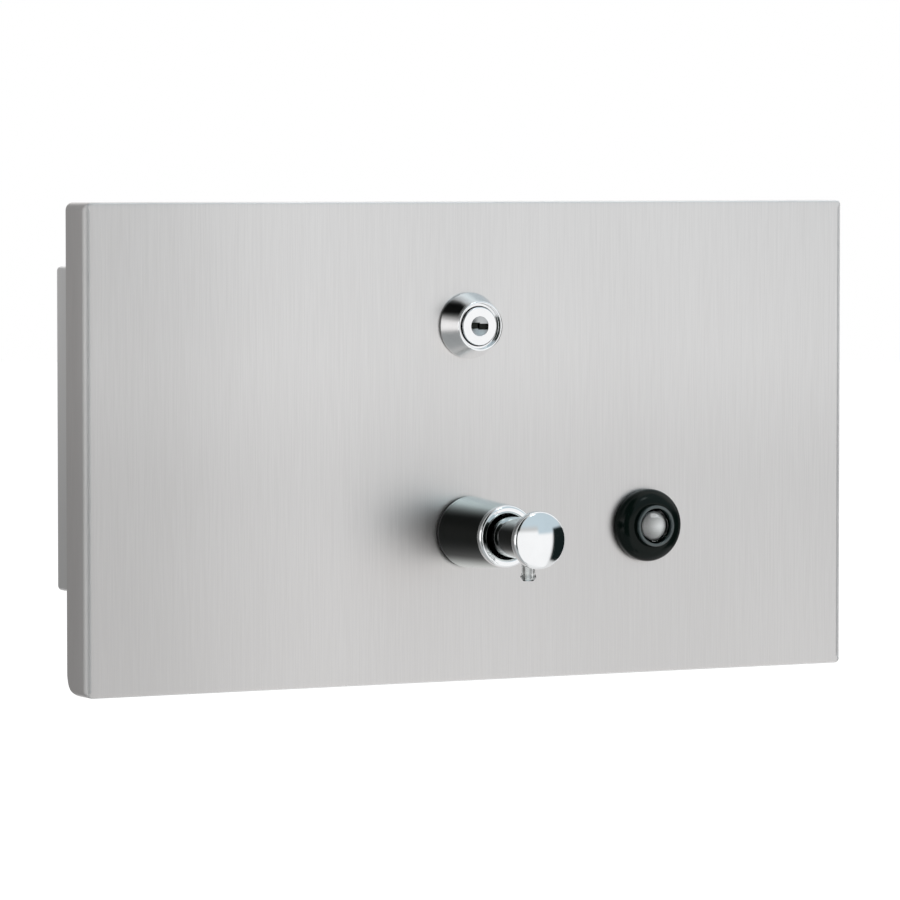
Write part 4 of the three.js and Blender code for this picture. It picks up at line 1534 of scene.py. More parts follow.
@dataclass
class CamLock:
    """The lock's collar and plug, with its nut, cam and screw."""

    foot_radius: float = 9.77
    rim_radius: float = 7.35
    proud: float = 7.5
    foot: float = 0.6
    groove_radius: float = 6.7
    groove_depth: float = 1.3
    barrel_radius: float = 7.5
    barrel_end: float = 16.5
    chamfer: float = 0.5
    thread_start: float = 1.6
    pitch: float = 1.5
    nut_radius: float = 11.5
    fit: float = 0.3
    plug_radius: float = 5.7
    plug_recess: float = 0.4
    plug_end: float = 17.0
    tail_half: float = 3.5
    tail_end: float = 19.6
    dimple_radius: float = 2.85
    dimple_depth: float = 0.6
    key_half: float = 2.95
    key_height: float = 1.05
    key_step: float = 0.32
    key_depth: float = 6.0
    core_length: float = 6.4
    key_recess: float = 0.3
    screw_radius: float = 2.8
    screw_length: float = 8.0

    @property
    def face(self) -> float:
        """The plug's face."""
        return -self.proud + self.plug_recess

    def build(self) -> None:
        """Makes the collar, the plug and the nut."""
        seat = Seat.of("lock_housing")
        place = (seat.middle[0], seat.low[1] + self.proud, seat.middle[2])
        rim = -self.proud
        bore = self.plug_radius + self.fit
        thread = (self.barrel_radius, self.thread_start, self.barrel_end - self.chamfer, self.pitch)
        collar = section(
            (self.barrel_radius, -self.fit, 0.0),
            thread_rows(*thread),
            (self.barrel_radius - self.chamfer, self.barrel_end, 0.1),
            (bore, self.barrel_end, 0.2),
            (bore, rim + self.groove_depth, 0.0),
            (self.groove_radius, rim + self.groove_depth, 0.1),
            (self.groove_radius, rim, 0.15),
            (self.rim_radius, rim, 0.45),
            (self.foot_radius, -self.fit - self.foot, 0.3),
            (self.foot_radius, -self.fit, 0.08),
        )
        skin = turned(collar, shape=threaded(*thread))
        placed("lock_collar", skin, COLLAR_PLATING, Body.PANEL, ["lock_housing"], at=place)
        hexagonal_nut("lock_nut", PLAIN_STEEL, self.nut_radius, self.barrel_radius + self.fit)
        half = self.tail_half
        tail = cuboid((-half, self.plug_end + HAIR / 2, -half), (half, self.tail_end, half))
        hole = cylinder(self.screw_radius, self.plug_end - OVERRUN, self.tail_end + OVERRUN)
        end = self.face + self.key_depth
        slots = self.keyway(self.face - OVERRUN, end)
        # Painted shade: dark copies of the keyway's halves, set a little back, fill its recess
        upper, lower = self.keyway(self.face + self.dimple_depth + self.key_recess, end)
        for name, skin, finish, cutters in (
            ("lock_plug_face", self.plug(), PLATING, ()),
            ("lock_tail", tail, PLATING, (hole,)),
            ("lock_core", self.core(), SATIN_PLATING, slots),
            ("keyway_upper", upper, KEYWAY_PAINTED_SHADE, ()),
            ("keyway_lower", lower, KEYWAY_PAINTED_SHADE, ()),
        ):
            placed(name, skin, finish, Body.LOCK, ["lock_plug"], cutters, place)
        dressed(PLAIN_STEEL, "lock_cam", "cam_screw")

    def plug(self) -> Skin:
        """Gives the plug with a socket for its core and a hole for the cam's screw.

        Returns:
            The surface about the lock's axis.
        """
        socket = self.face + self.core_length
        lathe = section(
            (0.0, socket, SMOOTH),
            (self.dimple_radius, socket, 0.0),
            (self.dimple_radius, self.face, 0.1),
            (self.plug_radius, self.face, 0.3),
            (self.plug_radius, self.plug_end, 0.1),
            (self.screw_radius, self.plug_end, 0.0),
            (self.screw_radius, self.tail_end - self.screw_length, 0.0),
            (0.0, self.tail_end - self.screw_length, SMOOTH),
            closed=False,
        )
        return turned(lathe, False)

    def core(self) -> Skin:
        """Gives the core round the keyway, whose face is a shallow paraboloid.

        Returns:
            The surface about the lock's axis.
        """
        radius = self.dimple_radius - 0.03
        share = np.linspace(0, 1, 13)[:-1]
        end = self.face + self.core_length - HAIR
        lathe = section(
            smooth_rows(share * radius, self.face + self.dimple_depth * (1 - share**2)),
            (radius, self.face + HAIR, 0.05),
            (radius, end, 0.0),
            (0.0, end, SMOOTH),
            closed=False,
        )
        return turned(lathe, False)

    def keyway(self, low: float, high: float) -> list[Skin]:
        """Gives the two halves of the stepped keyway, the left one higher.

        Args:
            low: Its front.
            high: Its rear.

        Returns:
            The halves.
        """
        top = self.key_height
        drop = self.key_step
        upper = cuboid((-self.key_half, low, drop - top), (drop, high, top))
        lower = cuboid((-drop, low, -top), (self.key_half, high, top - drop))
        return [upper, lower]


@dataclass
class PushValve:
    """The sleeve, plunger, knob and nozzle, with the seals and the body behind the panel."""

    gasket_radius: float = 10.4
    gasket_thick: float = 0.8
    fit: float = 0.3
    sleeve_base: float = 10.64
    sleeve_tip: float = 9.15
    sleeve_proud: float = 25.0
    sleeve_lip: float = 1.22
    ring_depth: float = 1.9
    sleeve_bore: float = 6.7
    body_radius: float = 8.0
    body_proud: float = 16.0
    plunger_radius: float = 6.0
    plunger_rear: float = 18.0
    seal_groove: float = 4.9
    seal_front: float = 13.4
    seal_rear: float = 16.0
    passage: float = 1.5
    knob_radius: float = 8.44
    knob_middle: float = 43.2
    knob_rim: float = 1.6
    knob_dome: float = 2.0
    knob_edge: float = 1.0
    knob_slope: float = 0.338
    knob_back: float = 2.2
    knob_neck: float = 6.4
    spigot_radius: float = 3.0
    spigot_length: float = 4.0
    nozzle_proud: float = 37.2
    nozzle_radius: float = 2.0
    nozzle_bore: float = 1.1
    nozzle_drop: float = 12.2
    nozzle_root: float = 3.0
    seal_radius: float = 6.15
    body_bore: float = 6.3
    body_pitch: float = 1.5
    body_thread_start: float = 3.0
    body_thread_length: float = 12.0
    tank_seal_radius: float = 11.5
    locknut_radius: float = 12.5
    wire_radius: float = 0.5
    coil: float = 4.6
    spring_turns: int = 6
    spring_steps: int = 32
    travel: float = 9.0
    tube_radius: float = 3.2
    tube_bore: float = 2.0
    tube_bend: float = 6.0

    def build(self) -> None:
        """Makes the pieces in front of the panel and dresses those behind it."""
        seat = Seat.of("valve_body")
        self.place = (seat.middle[0], seat.low[1] + self.body_proud, seat.middle[2])
        self.build_sleeve()
        self.build_plunger()
        self.build_knob()
        self.build_nozzle()
        self.build_spring()
        self.build_body()
        self.build_ball()
        self.build_tube()
        rubber_ring("tank_gasket", self.tank_seal_radius, self.body_radius + self.fit)
        hexagonal_nut("valve_locknut", NUT_BRASS, self.locknut_radius, self.body_radius + self.fit)
        dressed(WHITE_PLASTIC, "inlet_seat", "inlet_strainer")

    def build_sleeve(self) -> None:
        """Makes the tapered sleeve and the seal at its foot."""
        inner = self.body_radius + self.fit
        front = -self.fit - self.gasket_thick
        base = front - self.fit
        gasket = section(
            (self.gasket_radius, front, 0.25),
            (self.gasket_radius, -self.fit, 0.25),
            (inner, -self.fit, 0.1),
            (inner, front, 0.1),
        )
        placed("base_seal", turned(gasket), RUBBER, Body.PANEL, ["valve_gasket"], at=self.place)
        tip = -self.sleeve_proud
        joint = tip + self.ring_depth
        at_joint = self.sleeve_tip + (self.sleeve_base - self.sleeve_tip) * self.ring_depth / (base - tip)
        sleeve = section(
            (at_joint, joint, 0.1),
            (self.sleeve_base - HAIR, base - 0.9, 0.4),
            (self.sleeve_base, base - 0.35, 0.2),
            (self.sleeve_base - 0.3, base, 0.1),
            (inner, base, 0.1),
            (inner, -self.body_proud - self.fit, 0.1),
            (self.sleeve_bore, -self.body_proud - self.fit, 0.1),
            (self.sleeve_bore, joint, 0.1),
        )
        skin = turned(sleeve, count=128)
        placed("sleeve_turned", skin, SLEEVE_PLATING, Body.PANEL, ["valve_sleeve"], at=self.place)
        end_ring = section(
            (self.sleeve_bore, tip, self.sleeve_lip),
            (self.sleeve_tip, tip, self.sleeve_lip),
            (at_joint + 0.03, joint - HAIR, 0.1),
            (self.sleeve_bore, joint - HAIR, 0.1),
            steps=10,
        )
        skin = turned(end_ring, count=128)
        placed("sleeve_end_ring", skin, PLATING, Body.PANEL, ["valve_sleeve"], at=self.place)

    def build_plunger(self) -> None:
        """Makes the plunger with its seal groove, soap passage and outlet."""
        shoulder = self.shoulder()
        stem = section(
            (0.0, shoulder - self.spigot_length, SMOOTH),
            (self.spigot_radius, shoulder - self.spigot_length, 0.3),
            (self.spigot_radius, shoulder, 0.1),
            (self.plunger_radius, shoulder, 0.4),
            (self.plunger_radius, self.seal_front, 0.15),
            (self.seal_groove, self.seal_front, 0.1),
            (self.seal_groove, self.seal_rear, 0.1),
            (self.plunger_radius, self.seal_rear, 0.15),
            (self.plunger_radius, self.plunger_rear, 0.3),
            (0.0, self.plunger_rear, SMOOTH),
            closed=False,
        )
        passage = cylinder(self.passage, -self.nozzle_proud, self.plunger_rear + OVERRUN, count=32)
        hole = self.nozzle_radius + self.fit
        outlet = cylinder(hole, -self.plunger_radius - OVERRUN, 0.0, Axis.HEIGHT, 32)
        tools = [passage, outlet.moved(0.0, -self.nozzle_proud, 0.0)]
        skin = turned(stem, False)
        placed("plunger_turned", skin, STEM_PLATING, Body.KNOB, ["plunger"], tools, self.place)
        seal = section(
            (self.seal_radius, self.seal_front + self.fit, 0.4),
            (self.seal_radius, self.seal_rear - self.fit, 0.4),
            (self.seal_groove + self.fit, self.seal_rear - self.fit, 0.2),
            (self.seal_groove + self.fit, self.seal_front + self.fit, 0.2),
        )
        placed("piston_ring", turned(seal), RUBBER, Body.KNOB, ["piston_seal"], at=self.place)

    def shoulder(self) -> float:
        """Gives the plunger's shoulder behind the knob."""
        return -self.knob_middle + self.knob_rim / 2 + self.knob_back + self.fit

    def build_knob(self) -> None:
        """Makes the domed knob: a dome, a rim and a cone behind it."""
        back = -self.knob_middle + self.knob_rim / 2
        rear = back + self.knob_back
        pocket = self.shoulder() - self.spigot_length - self.fit
        bore = self.spigot_radius + self.fit
        knob = section(
            self.dome(),
            (self.knob_radius, back, 0.5),
            (self.knob_neck, rear, 0.3),
            (bore, rear, 0.15),
            (bore, pocket, 0.1),
            (0.0, pocket, SMOOTH),
            closed=False,
        )
        skin = turned(knob, False, count=128)
        placed("knob_turned", skin, PLATING, Body.KNOB, ["push_knob"], at=self.place)

    def dome(self) -> np.ndarray:
        """Gives the knob's front, a shallow paraboloid that an arc joins to the rim.

        The arc starts where its slope is the paraboloid's, and ends square to the face.

        Returns:
            Smooth points of a section, from the middle outwards.
        """
        turn = math.atan(1 / self.knob_slope)
        meet = self.knob_radius - self.knob_edge * (1 - math.cos(turn))
        radius = np.linspace(0, meet, 25)[:-1]
        apex = -self.knob_middle - self.knob_rim / 2 - self.knob_dome
        height = apex + self.knob_slope / (2 * meet) * radius**2
        rise = self.knob_slope * meet / 2 + self.knob_edge * math.sin(turn)
        centre = (self.knob_radius - self.knob_edge, apex + rise)
        edge = arc(centre, (self.knob_edge, -self.knob_edge), math.degrees(turn), 0.0, 8)
        return np.vstack((smooth_rows(radius, height), edge))

    def build_spring(self) -> None:
        """Makes the return spring.

        The wire's middle runs round the coil's circle. Its place along the axis grows with the angle,
        slowly in the closed end turns and evenly between them.
        """
        seat = Seat.of("return_spring")
        start = seat.low[1] + self.wire_radius
        travel = seat.size[1] - 2 * self.wire_radius
        turn = np.linspace(0, self.spring_turns, self.spring_turns * self.spring_steps + 1)
        closed = 2 * self.wire_radius
        middle = np.interp(
            turn,
            (0.0, 1.0, self.spring_turns - 1.0, self.spring_turns),
            (0.0, closed, travel - closed, travel),
        )
        angle = turn * FULL_TURN
        path = np.stack((self.coil * np.cos(angle), start + middle, self.coil * np.sin(angle)), axis=1)
        path[:, 0] += self.place[0]
        path[:, 2] += self.place[2]
        path = np.vstack((path[0], path, path[-1]))
        radii = np.full(len(path), self.wire_radius)
        radii[[0, -1]] = 0.0
        skin = swept(path, radii, (0.0, 1.0, 0.0), 12)
        spring = placed("spring_coil", skin, PLAIN_STEEL, Body.PANEL, ["return_spring"])
        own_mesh(spring)

    def build_body(self) -> None:
        """Makes the valve's threaded body."""
        body = Seat.of("valve_body")
        low = body.low[1] - self.place[1]
        high = body.high[1] - self.place[1]
        start = self.body_thread_start
        thread = (self.body_radius, start, start + self.body_thread_length, self.body_pitch)
        barrel = section(
            (self.body_radius, low, 0.3),
            thread_rows(*thread),
            (self.body_radius, high, 0.3),
            (self.body_bore, high, 0.2),
            (self.body_bore, low, 0.2),
        )
        skin = turned(barrel, shape=threaded(*thread))
        placed("valve_barrel", skin, WHITE_PLASTIC, Body.PANEL, ["valve_body"], at=self.place)

    def build_ball(self) -> None:
        """Makes the check ball."""
        seat = Seat.of("check_ball")
        radius = seat.size[1] / 2
        dome = section(arc((0.0, 0.0), (radius, radius), 90.0, -90.0, 24), closed=False)
        skin = turned(dome, False, count=48)
        placed("ball_turned", skin, PLATING, Body.BALL, ["check_ball"], at=seat.middle)

    def build_tube(self) -> None:
        """Makes the pick-up tube.

        Its middle runs back, bends down by a parabola whose control point is the corner, and ends near
        the tank's floor. Its wall is carried out along it and back.
        """
        pipe = Seat.of("pickup_tube")
        x = self.place[0]
        z = self.place[2]
        back = pipe.high[1] - self.tube_radius
        corner = np.array((x, back, z))
        share = np.linspace(0, 1, 18)[:, None]
        enter = corner - np.array((0.0, self.tube_bend, 0.0))
        leave = corner - np.array((0.0, 0.0, self.tube_bend))
        bend = (1 - share) ** 2 * enter + 2 * share * (1 - share) * corner + share**2 * leave
        path = np.vstack(((x, pipe.low[1], z), bend, (x, back, pipe.low[2])))
        radii = np.full(len(path), self.tube_radius)
        bores = np.full(len(path), self.tube_bore)
        both = np.vstack((path, path[::-1]))
        skin = swept(both, np.concatenate((radii, bores)), (1.0, 0.0, 0.0), 32, True)
        placed("tube_bent", skin, CLEAR, Body.PANEL, ["pickup_tube"])

    def build_nozzle(self) -> None:
        """Makes the clear nozzle with its beaded tip."""
        tip = -self.nozzle_drop
        nozzle = section(
            (self.nozzle_bore, tip, 0.15),
            (self.nozzle_radius - 0.35, tip, 0.3),
            (self.nozzle_radius + 0.35, tip + 1.1, 0.5),
            (self.nozzle_radius, tip + 2.2, 0.4),
            (self.nozzle_radius, -self.nozzle_root, 0.1),
            (self.nozzle_bore, -self.nozzle_root, 0.1),
        )
        skin = turned(nozzle, axis=Axis.HEIGHT, count=48).moved(0.0, -self.nozzle_proud, 0.0)
        placed("nozzle_clear", skin, NOZZLE_CLEAR, Body.KNOB, ["nozzle"], at=self.place)


@dataclass
class SightGlass:
    """The black bezel with its clear lens."""

    radius: float = 10.9
    foot: float = 1.5
    ring: float = 6.2
    ring_depth: float = 1.0
    dome: float = 5.3
    proud: float = 7.0
    tail: float = 7.5
    length: float = 12.0
    fit: float = 0.3
    lens_radius: float = 4.95
    lens_proud: float = 5.2
    lens_dome: float = 1.1
    core_radius: float = 4.3
    core_gap: float = 0.08
    glass_thick: float = 0.35
    glass_depth: float = 3.6
    nut_radius: float = 11.5
    gasket_radius: float = 11.0

    def build(self) -> None:
        """Makes the bezel, the lens and its pale core, and dresses the gasket and nut."""
        seat = Seat.of("sight_bezel")
        place = (seat.middle[0], seat.low[1] + self.proud, seat.middle[2])
        foot = -self.fit - self.foot
        bore = self.lens_radius + self.fit
        bezel = section(
            (self.tail, -self.fit, 0.1),
            (self.tail, self.length, 0.3),
            (bore, self.length, 0.2),
            (bore, self.ring_depth - self.proud, 0.05),
            (self.ring - 0.05, self.ring_depth - self.proud, 0.05),
            (self.ring - 0.05, 0.1 - self.dome, 0.05),
            arc((self.ring, foot), (self.radius - self.ring, self.dome + foot), -84.0, 0.0, 20),
            (self.radius, -self.fit, 0.2),
        )
        skin = turned(bezel, count=128)
        placed("bezel_moulded", skin, GLOSS_BLACK, Body.PANEL, ["sight_bezel"], at=place)
        ring = section(
            (bore, -self.proud, 0.35),
            (self.ring, -self.proud, 0.35),
            (self.ring, self.ring_depth - self.proud, 0.05),
            (bore, self.ring_depth - self.proud, 0.05),
        )
        skin = turned(ring, count=128)
        placed("bezel_ring", skin, RING_BLACK, Body.PANEL, ["sight_bezel"], at=place)
        joint = -self.lens_proud + self.glass_depth
        inside = -self.lens_proud + self.glass_thick
        cavity = self.core_radius + self.core_gap
        glass = section(
            arc((0.0, -self.lens_proud), (self.lens_radius, -self.lens_dome), 90.0, 6.0, 14),
            (self.lens_radius, joint, 0.1),
            (cavity, joint, 0.1),
            arc((0.0, inside), (cavity, -self.lens_dome), 6.0, 90.0, 12),
            closed=False,
        )
        placed("lens_glass", turned(glass, False), LENS_GLASS, Body.PANEL, ["sight_lens"], at=place)
        face = inside + self.core_gap
        core = section(
            arc((0.0, face), (self.core_radius, -self.lens_dome), 90.0, 8.0, 12),
            (self.core_radius, self.length, 0.2),
            (0.0, self.length, SMOOTH),
            closed=False,
        )
        skin = turned(core, False, count=64)
        placed("lens_core", skin, FLOAT_WHITE, Body.PANEL, ["sight_lens"], at=place)
        rubber_ring("sight_gasket", self.gasket_radius, self.tail + self.fit)
        hexagonal_nut("sight_nut", CAP_BLACK, self.nut_radius, self.tail + self.fit)


@dataclass
class Tank:
    """The soap tank with its studs, lid and filler cap."""

    wall: float = 1.0
    corner: float = 6.0
    edge: float = 3.0
    cut_edge: float = 0.12
    half_width: float = 88.0
    ear_inner: float = 82.5
    ear_low: float = -36.73
    ear_high: float = 9.27
    ear_corner: float = 4.0
    fit: float = 0.3
    valve_hole: float = 8.3
    sight_hole: float = 7.8
    stud_radius: float = 2.0
    stud_root: float = 1.2
    stud_chamfer: float = 0.5
    stud_pitch: float = 0.7
    stud_groove: float = 0.22
    stud_nut: float = 4.2
    lid_thick: float = 1.0
    lid_rear: float = -13.0
    lip: float = 5.0
    neck_radius: float = 19.0
    neck_wall: float = 1.6
    neck_flare: float = 1.2
    lug_reach: float = 1.5
    lug_height: float = 1.4
    lug_drop: float = 1.0
    lug_span: float = math.radians(42)
    cap_radius: float = 23.2
    cap_wall: float = 2.0
    cap_ribs: int = 40
    rib_depth: float = 0.5
    grip_length: float = 32.0
    grip_thick: float = 5.0
    gasket_bore: float = 15.0

    def build(self) -> None:
        """Makes the tank's pieces."""
        self.build_body()
        self.build_studs()
        self.build_lid()
        self.build_cap()

    def build_body(self) -> None:
        """Makes the open tank and its two ears."""
        seat = Seat.of("tank_body")
        front, rear = seat.low[1], seat.high[1]
        low, high = seat.low[2], seat.high[2]
        outline = Outline.rectangle((-self.half_width, front), (self.half_width, rear), self.corner)
        insets, steps = quarter(6)
        inner = self.edge - self.wall
        inside = low + self.wall
        outer = [outline.inset(self.edge * inset) for inset in insets]
        outer_depths = [low + self.edge * step for step in steps]
        cut = self.cut_edge
        rim = [outline.inset(inset) for inset in (0.0, cut, self.wall - cut, self.wall)]
        rim_depths = [high - cut, high, high, high - cut]
        lining = [outline.inset(self.wall + inner * inset) for inset in insets[::-1]]
        lining_depths = [inside + inner * step for step in steps[::-1]]
        skin = slab([*outer, *rim, *lining], [*outer_depths, *rim_depths, *lining_depths], Axis.HEIGHT)
        holes = []
        for node, radius in (("valve_body", self.valve_hole), ("sight_bezel", self.sight_hole)):
            x, _, z = Seat.of(node).middle
            drill = cylinder(radius, front - OVERRUN, front + self.wall + OVERRUN)
            holes.append(drill.moved(x, 0.0, z))
        placed("tank_shell", skin, TANK_STEEL, Body.PANEL, ["tank_body"], holes)
        for side in ("left", "right"):
            sign = -1 if side == "left" else 1
            reach = sorted((sign * self.ear_inner, sign * seat.high[0]))
            plate = Outline.rectangle((reach[0], self.ear_low), (reach[1], self.ear_high), self.ear_corner)
            ear = rounded_slab(plate, front + HAIR, front + self.wall - HAIR, cut, Axis.DEPTH)
            studs = [Seat.of(f"stud_{side}_{level}").middle for level in ("lower", "upper")]
            hole = self.stud_radius + self.fit
            drill = cylinder(hole, front - OVERRUN, front + self.wall + OVERRUN)
            tools = [drill.moved(x, 0.0, z) for x, _, z in studs]
            placed(f"tank_ear_{side}", ear, TANK_STEEL, Body.PANEL, ["tank_body"], tools)

    def build_studs(self) -> None:
        """Makes the weld studs with their threads, and their nuts."""
        for side in ("left", "right"):
            for level in ("lower", "upper"):
                name = f"stud_{side}_{level}"
                seat = Seat.of(name)
                low, high = seat.low[1], seat.high[1]
                end = high - self.stud_chamfer
                thread = (self.stud_radius, low + self.stud_root, end, self.stud_pitch)
                stud = section(
                    (0.0, low, SMOOTH),
                    (self.stud_radius, low, 0.1),
                    thread_rows(*thread),
                    (self.stud_radius - 0.6, high, 0.1),
                    (0.0, high, SMOOTH),
                    closed=False,
                )
                skin = turned(stud, False, count=40, shape=threaded(*thread, self.stud_groove))
                place = seat.axis(Axis.DEPTH)
                placed(f"{name}_turned", skin, PLAIN_STEEL, Body.PANEL, [name], at=place)
                bore = self.stud_radius + self.fit
                hexagonal_nut(f"stud_nut_{side}_{level}", PLAIN_STEEL, self.stud_nut, bore)

    def lugs(self, inner: float, outer: float, top: float) -> list[Skin]:
        """Gives the bayonet's two lugs, which face each other.

        Args:
            inner: Their inner radius.
            outer: Their outer radius.
            top: Their top.

        Returns:
            The lugs about the neck's axis.
        """
        low = top - self.lug_height
        return [sector(inner, outer, low, top, facing, self.lug_span) for facing in (0.0, HALF_TURN)]

    def build_lid(self) -> None:
        """Makes the lid's plate, its lip, and the filler neck with two lugs."""
        seat = Seat.of("tank_lid")
        cap = Seat.of("filler_cap").axis(Axis.HEIGHT)
        front = seat.low[1]
        under = seat.low[2] + self.lip
        top = under + self.lid_thick
        plate = Outline.rectangle((-self.half_width, front), (self.half_width, seat.high[1]), self.corner)
        skin = rounded_slab(plate, under, top, 0.15, Axis.HEIGHT)
        bore = self.neck_radius - self.neck_wall
        mouth = cylinder(bore, under - OVERRUN, top + OVERRUN, Axis.HEIGHT).moved(*cap)
        placed("lid_plate", skin, TANK_STEEL, Body.PANEL, ["tank_lid"], [mouth])
        inset = self.wall + self.fit
        border = Outline.rectangle(
            (inset - self.half_width, front + inset),
            (self.half_width - inset, self.lid_rear - inset),
            self.corner - inset,
        )
        loops = [border.points, border.inset(self.wall)]
        root = under + HAIR
        grid = raised([*loops, *loops[::-1]], [seat.low[2], seat.low[2], root, root], Axis.HEIGHT)
        placed("lid_lip", Skin.of_grid(grid, True, True), TANK_STEEL, Body.PANEL, ["tank_lid"])
        neck = section(
            (self.neck_radius + self.neck_flare, top - HAIR, 0.0),
            (self.neck_radius, top + HAIR, self.neck_flare),
            (self.neck_radius, seat.high[2], 0.4),
            (bore, seat.high[2], 0.4),
            (bore, under, 0.2),
            (bore + 0.4, root, 0.0),
        )
        outer = self.neck_radius + self.lug_reach
        lugs = self.lugs(bore + 0.3, outer, seat.high[2] - self.lug_drop)
        skin = turned(neck, axis=Axis.HEIGHT).joined(*lugs)
        placed("lid_neck", skin, TANK_STEEL, Body.PANEL, ["tank_lid"], at=cap)

    def build_cap(self) -> None:
        """Makes the ribbed cap with its grip, and its gasket.

        The skirt's radius falls by the rib's depth times the square of the sine of half the rib's
        angle.
        """
        seat = Seat.of("filler_cap")
        gasket = Seat.of("cap_gasket")
        roof = gasket.high[2] + self.fit
        top = roof + self.cap_wall
        inner = self.cap_radius - self.cap_wall

        def ribbed(angle: np.ndarray, radius: np.ndarray, height: np.ndarray) -> np.ndarray:
            """Gives the skirt's radius."""
            rib = np.sin(self.cap_ribs * angle / 2) ** 2
            skirt = (radius > inner + 0.4) & (height > seat.low[2] + 0.9) & (height < top - 0.9)
            return np.where(skirt, radius - self.rib_depth * rib, radius)

        height = np.linspace(seat.low[2] + 0.6, top - 0.8, 16)
        shell = section(
            (0.0, roof, SMOOTH),
            (inner, roof, 0.3),
            (inner, seat.low[2], 0.2),
            (self.cap_radius - 0.3, seat.low[2], 0.2),
            smooth_rows(self.cap_radius, height),
            (self.cap_radius - 0.9, top, 0.5),
            (0.0, top, SMOOTH),
            closed=False,
        )
        skin = turned(shell, False, Axis.HEIGHT, 240, ribbed)
        half = np.array((self.grip_length, self.grip_thick)) / 2
        bar = Outline.rectangle(-half, half, self.grip_thick / 2 - 0.05, 10, 6)
        insets, steps = quarter(5)
        crown = 1.2
        loops = [bar.inset(inset) for inset in (-0.8, -0.2, 0.0, *(crown * insets[::-1]))]
        depths = [top - 0.3, top + 0.35, top + 1.0, *(seat.high[2] - crown * steps[::-1])]
        neck_top = gasket.low[2] - self.fit
        lug_top = neck_top - self.lug_drop - self.lug_height - self.fit
        lugs = self.lugs(self.neck_radius + self.fit, inner + 0.5, lug_top)
        skin = skin.joined(slab(loops, depths, Axis.HEIGHT), *lugs)
        place = seat.axis(Axis.HEIGHT)
        placed("cap_moulded", skin, CAP_BLACK, Body.CAP, ["filler_cap"], at=place)
        rubber_ring("cap_gasket", self.neck_radius, self.gasket_bore, Axis.HEIGHT, Body.CAP)


# Stage


@dataclass(frozen=True)
class Card:
    """A soft-edged patch of the studio's surroundings, in degrees, as polished pieces see it.

    Azimuth runs from the front of the object towards its right. Elevation runs up.
    """

    left: float
    right: float
    low: float
    high: float
    colour: Colour
    soft: float = 8.0


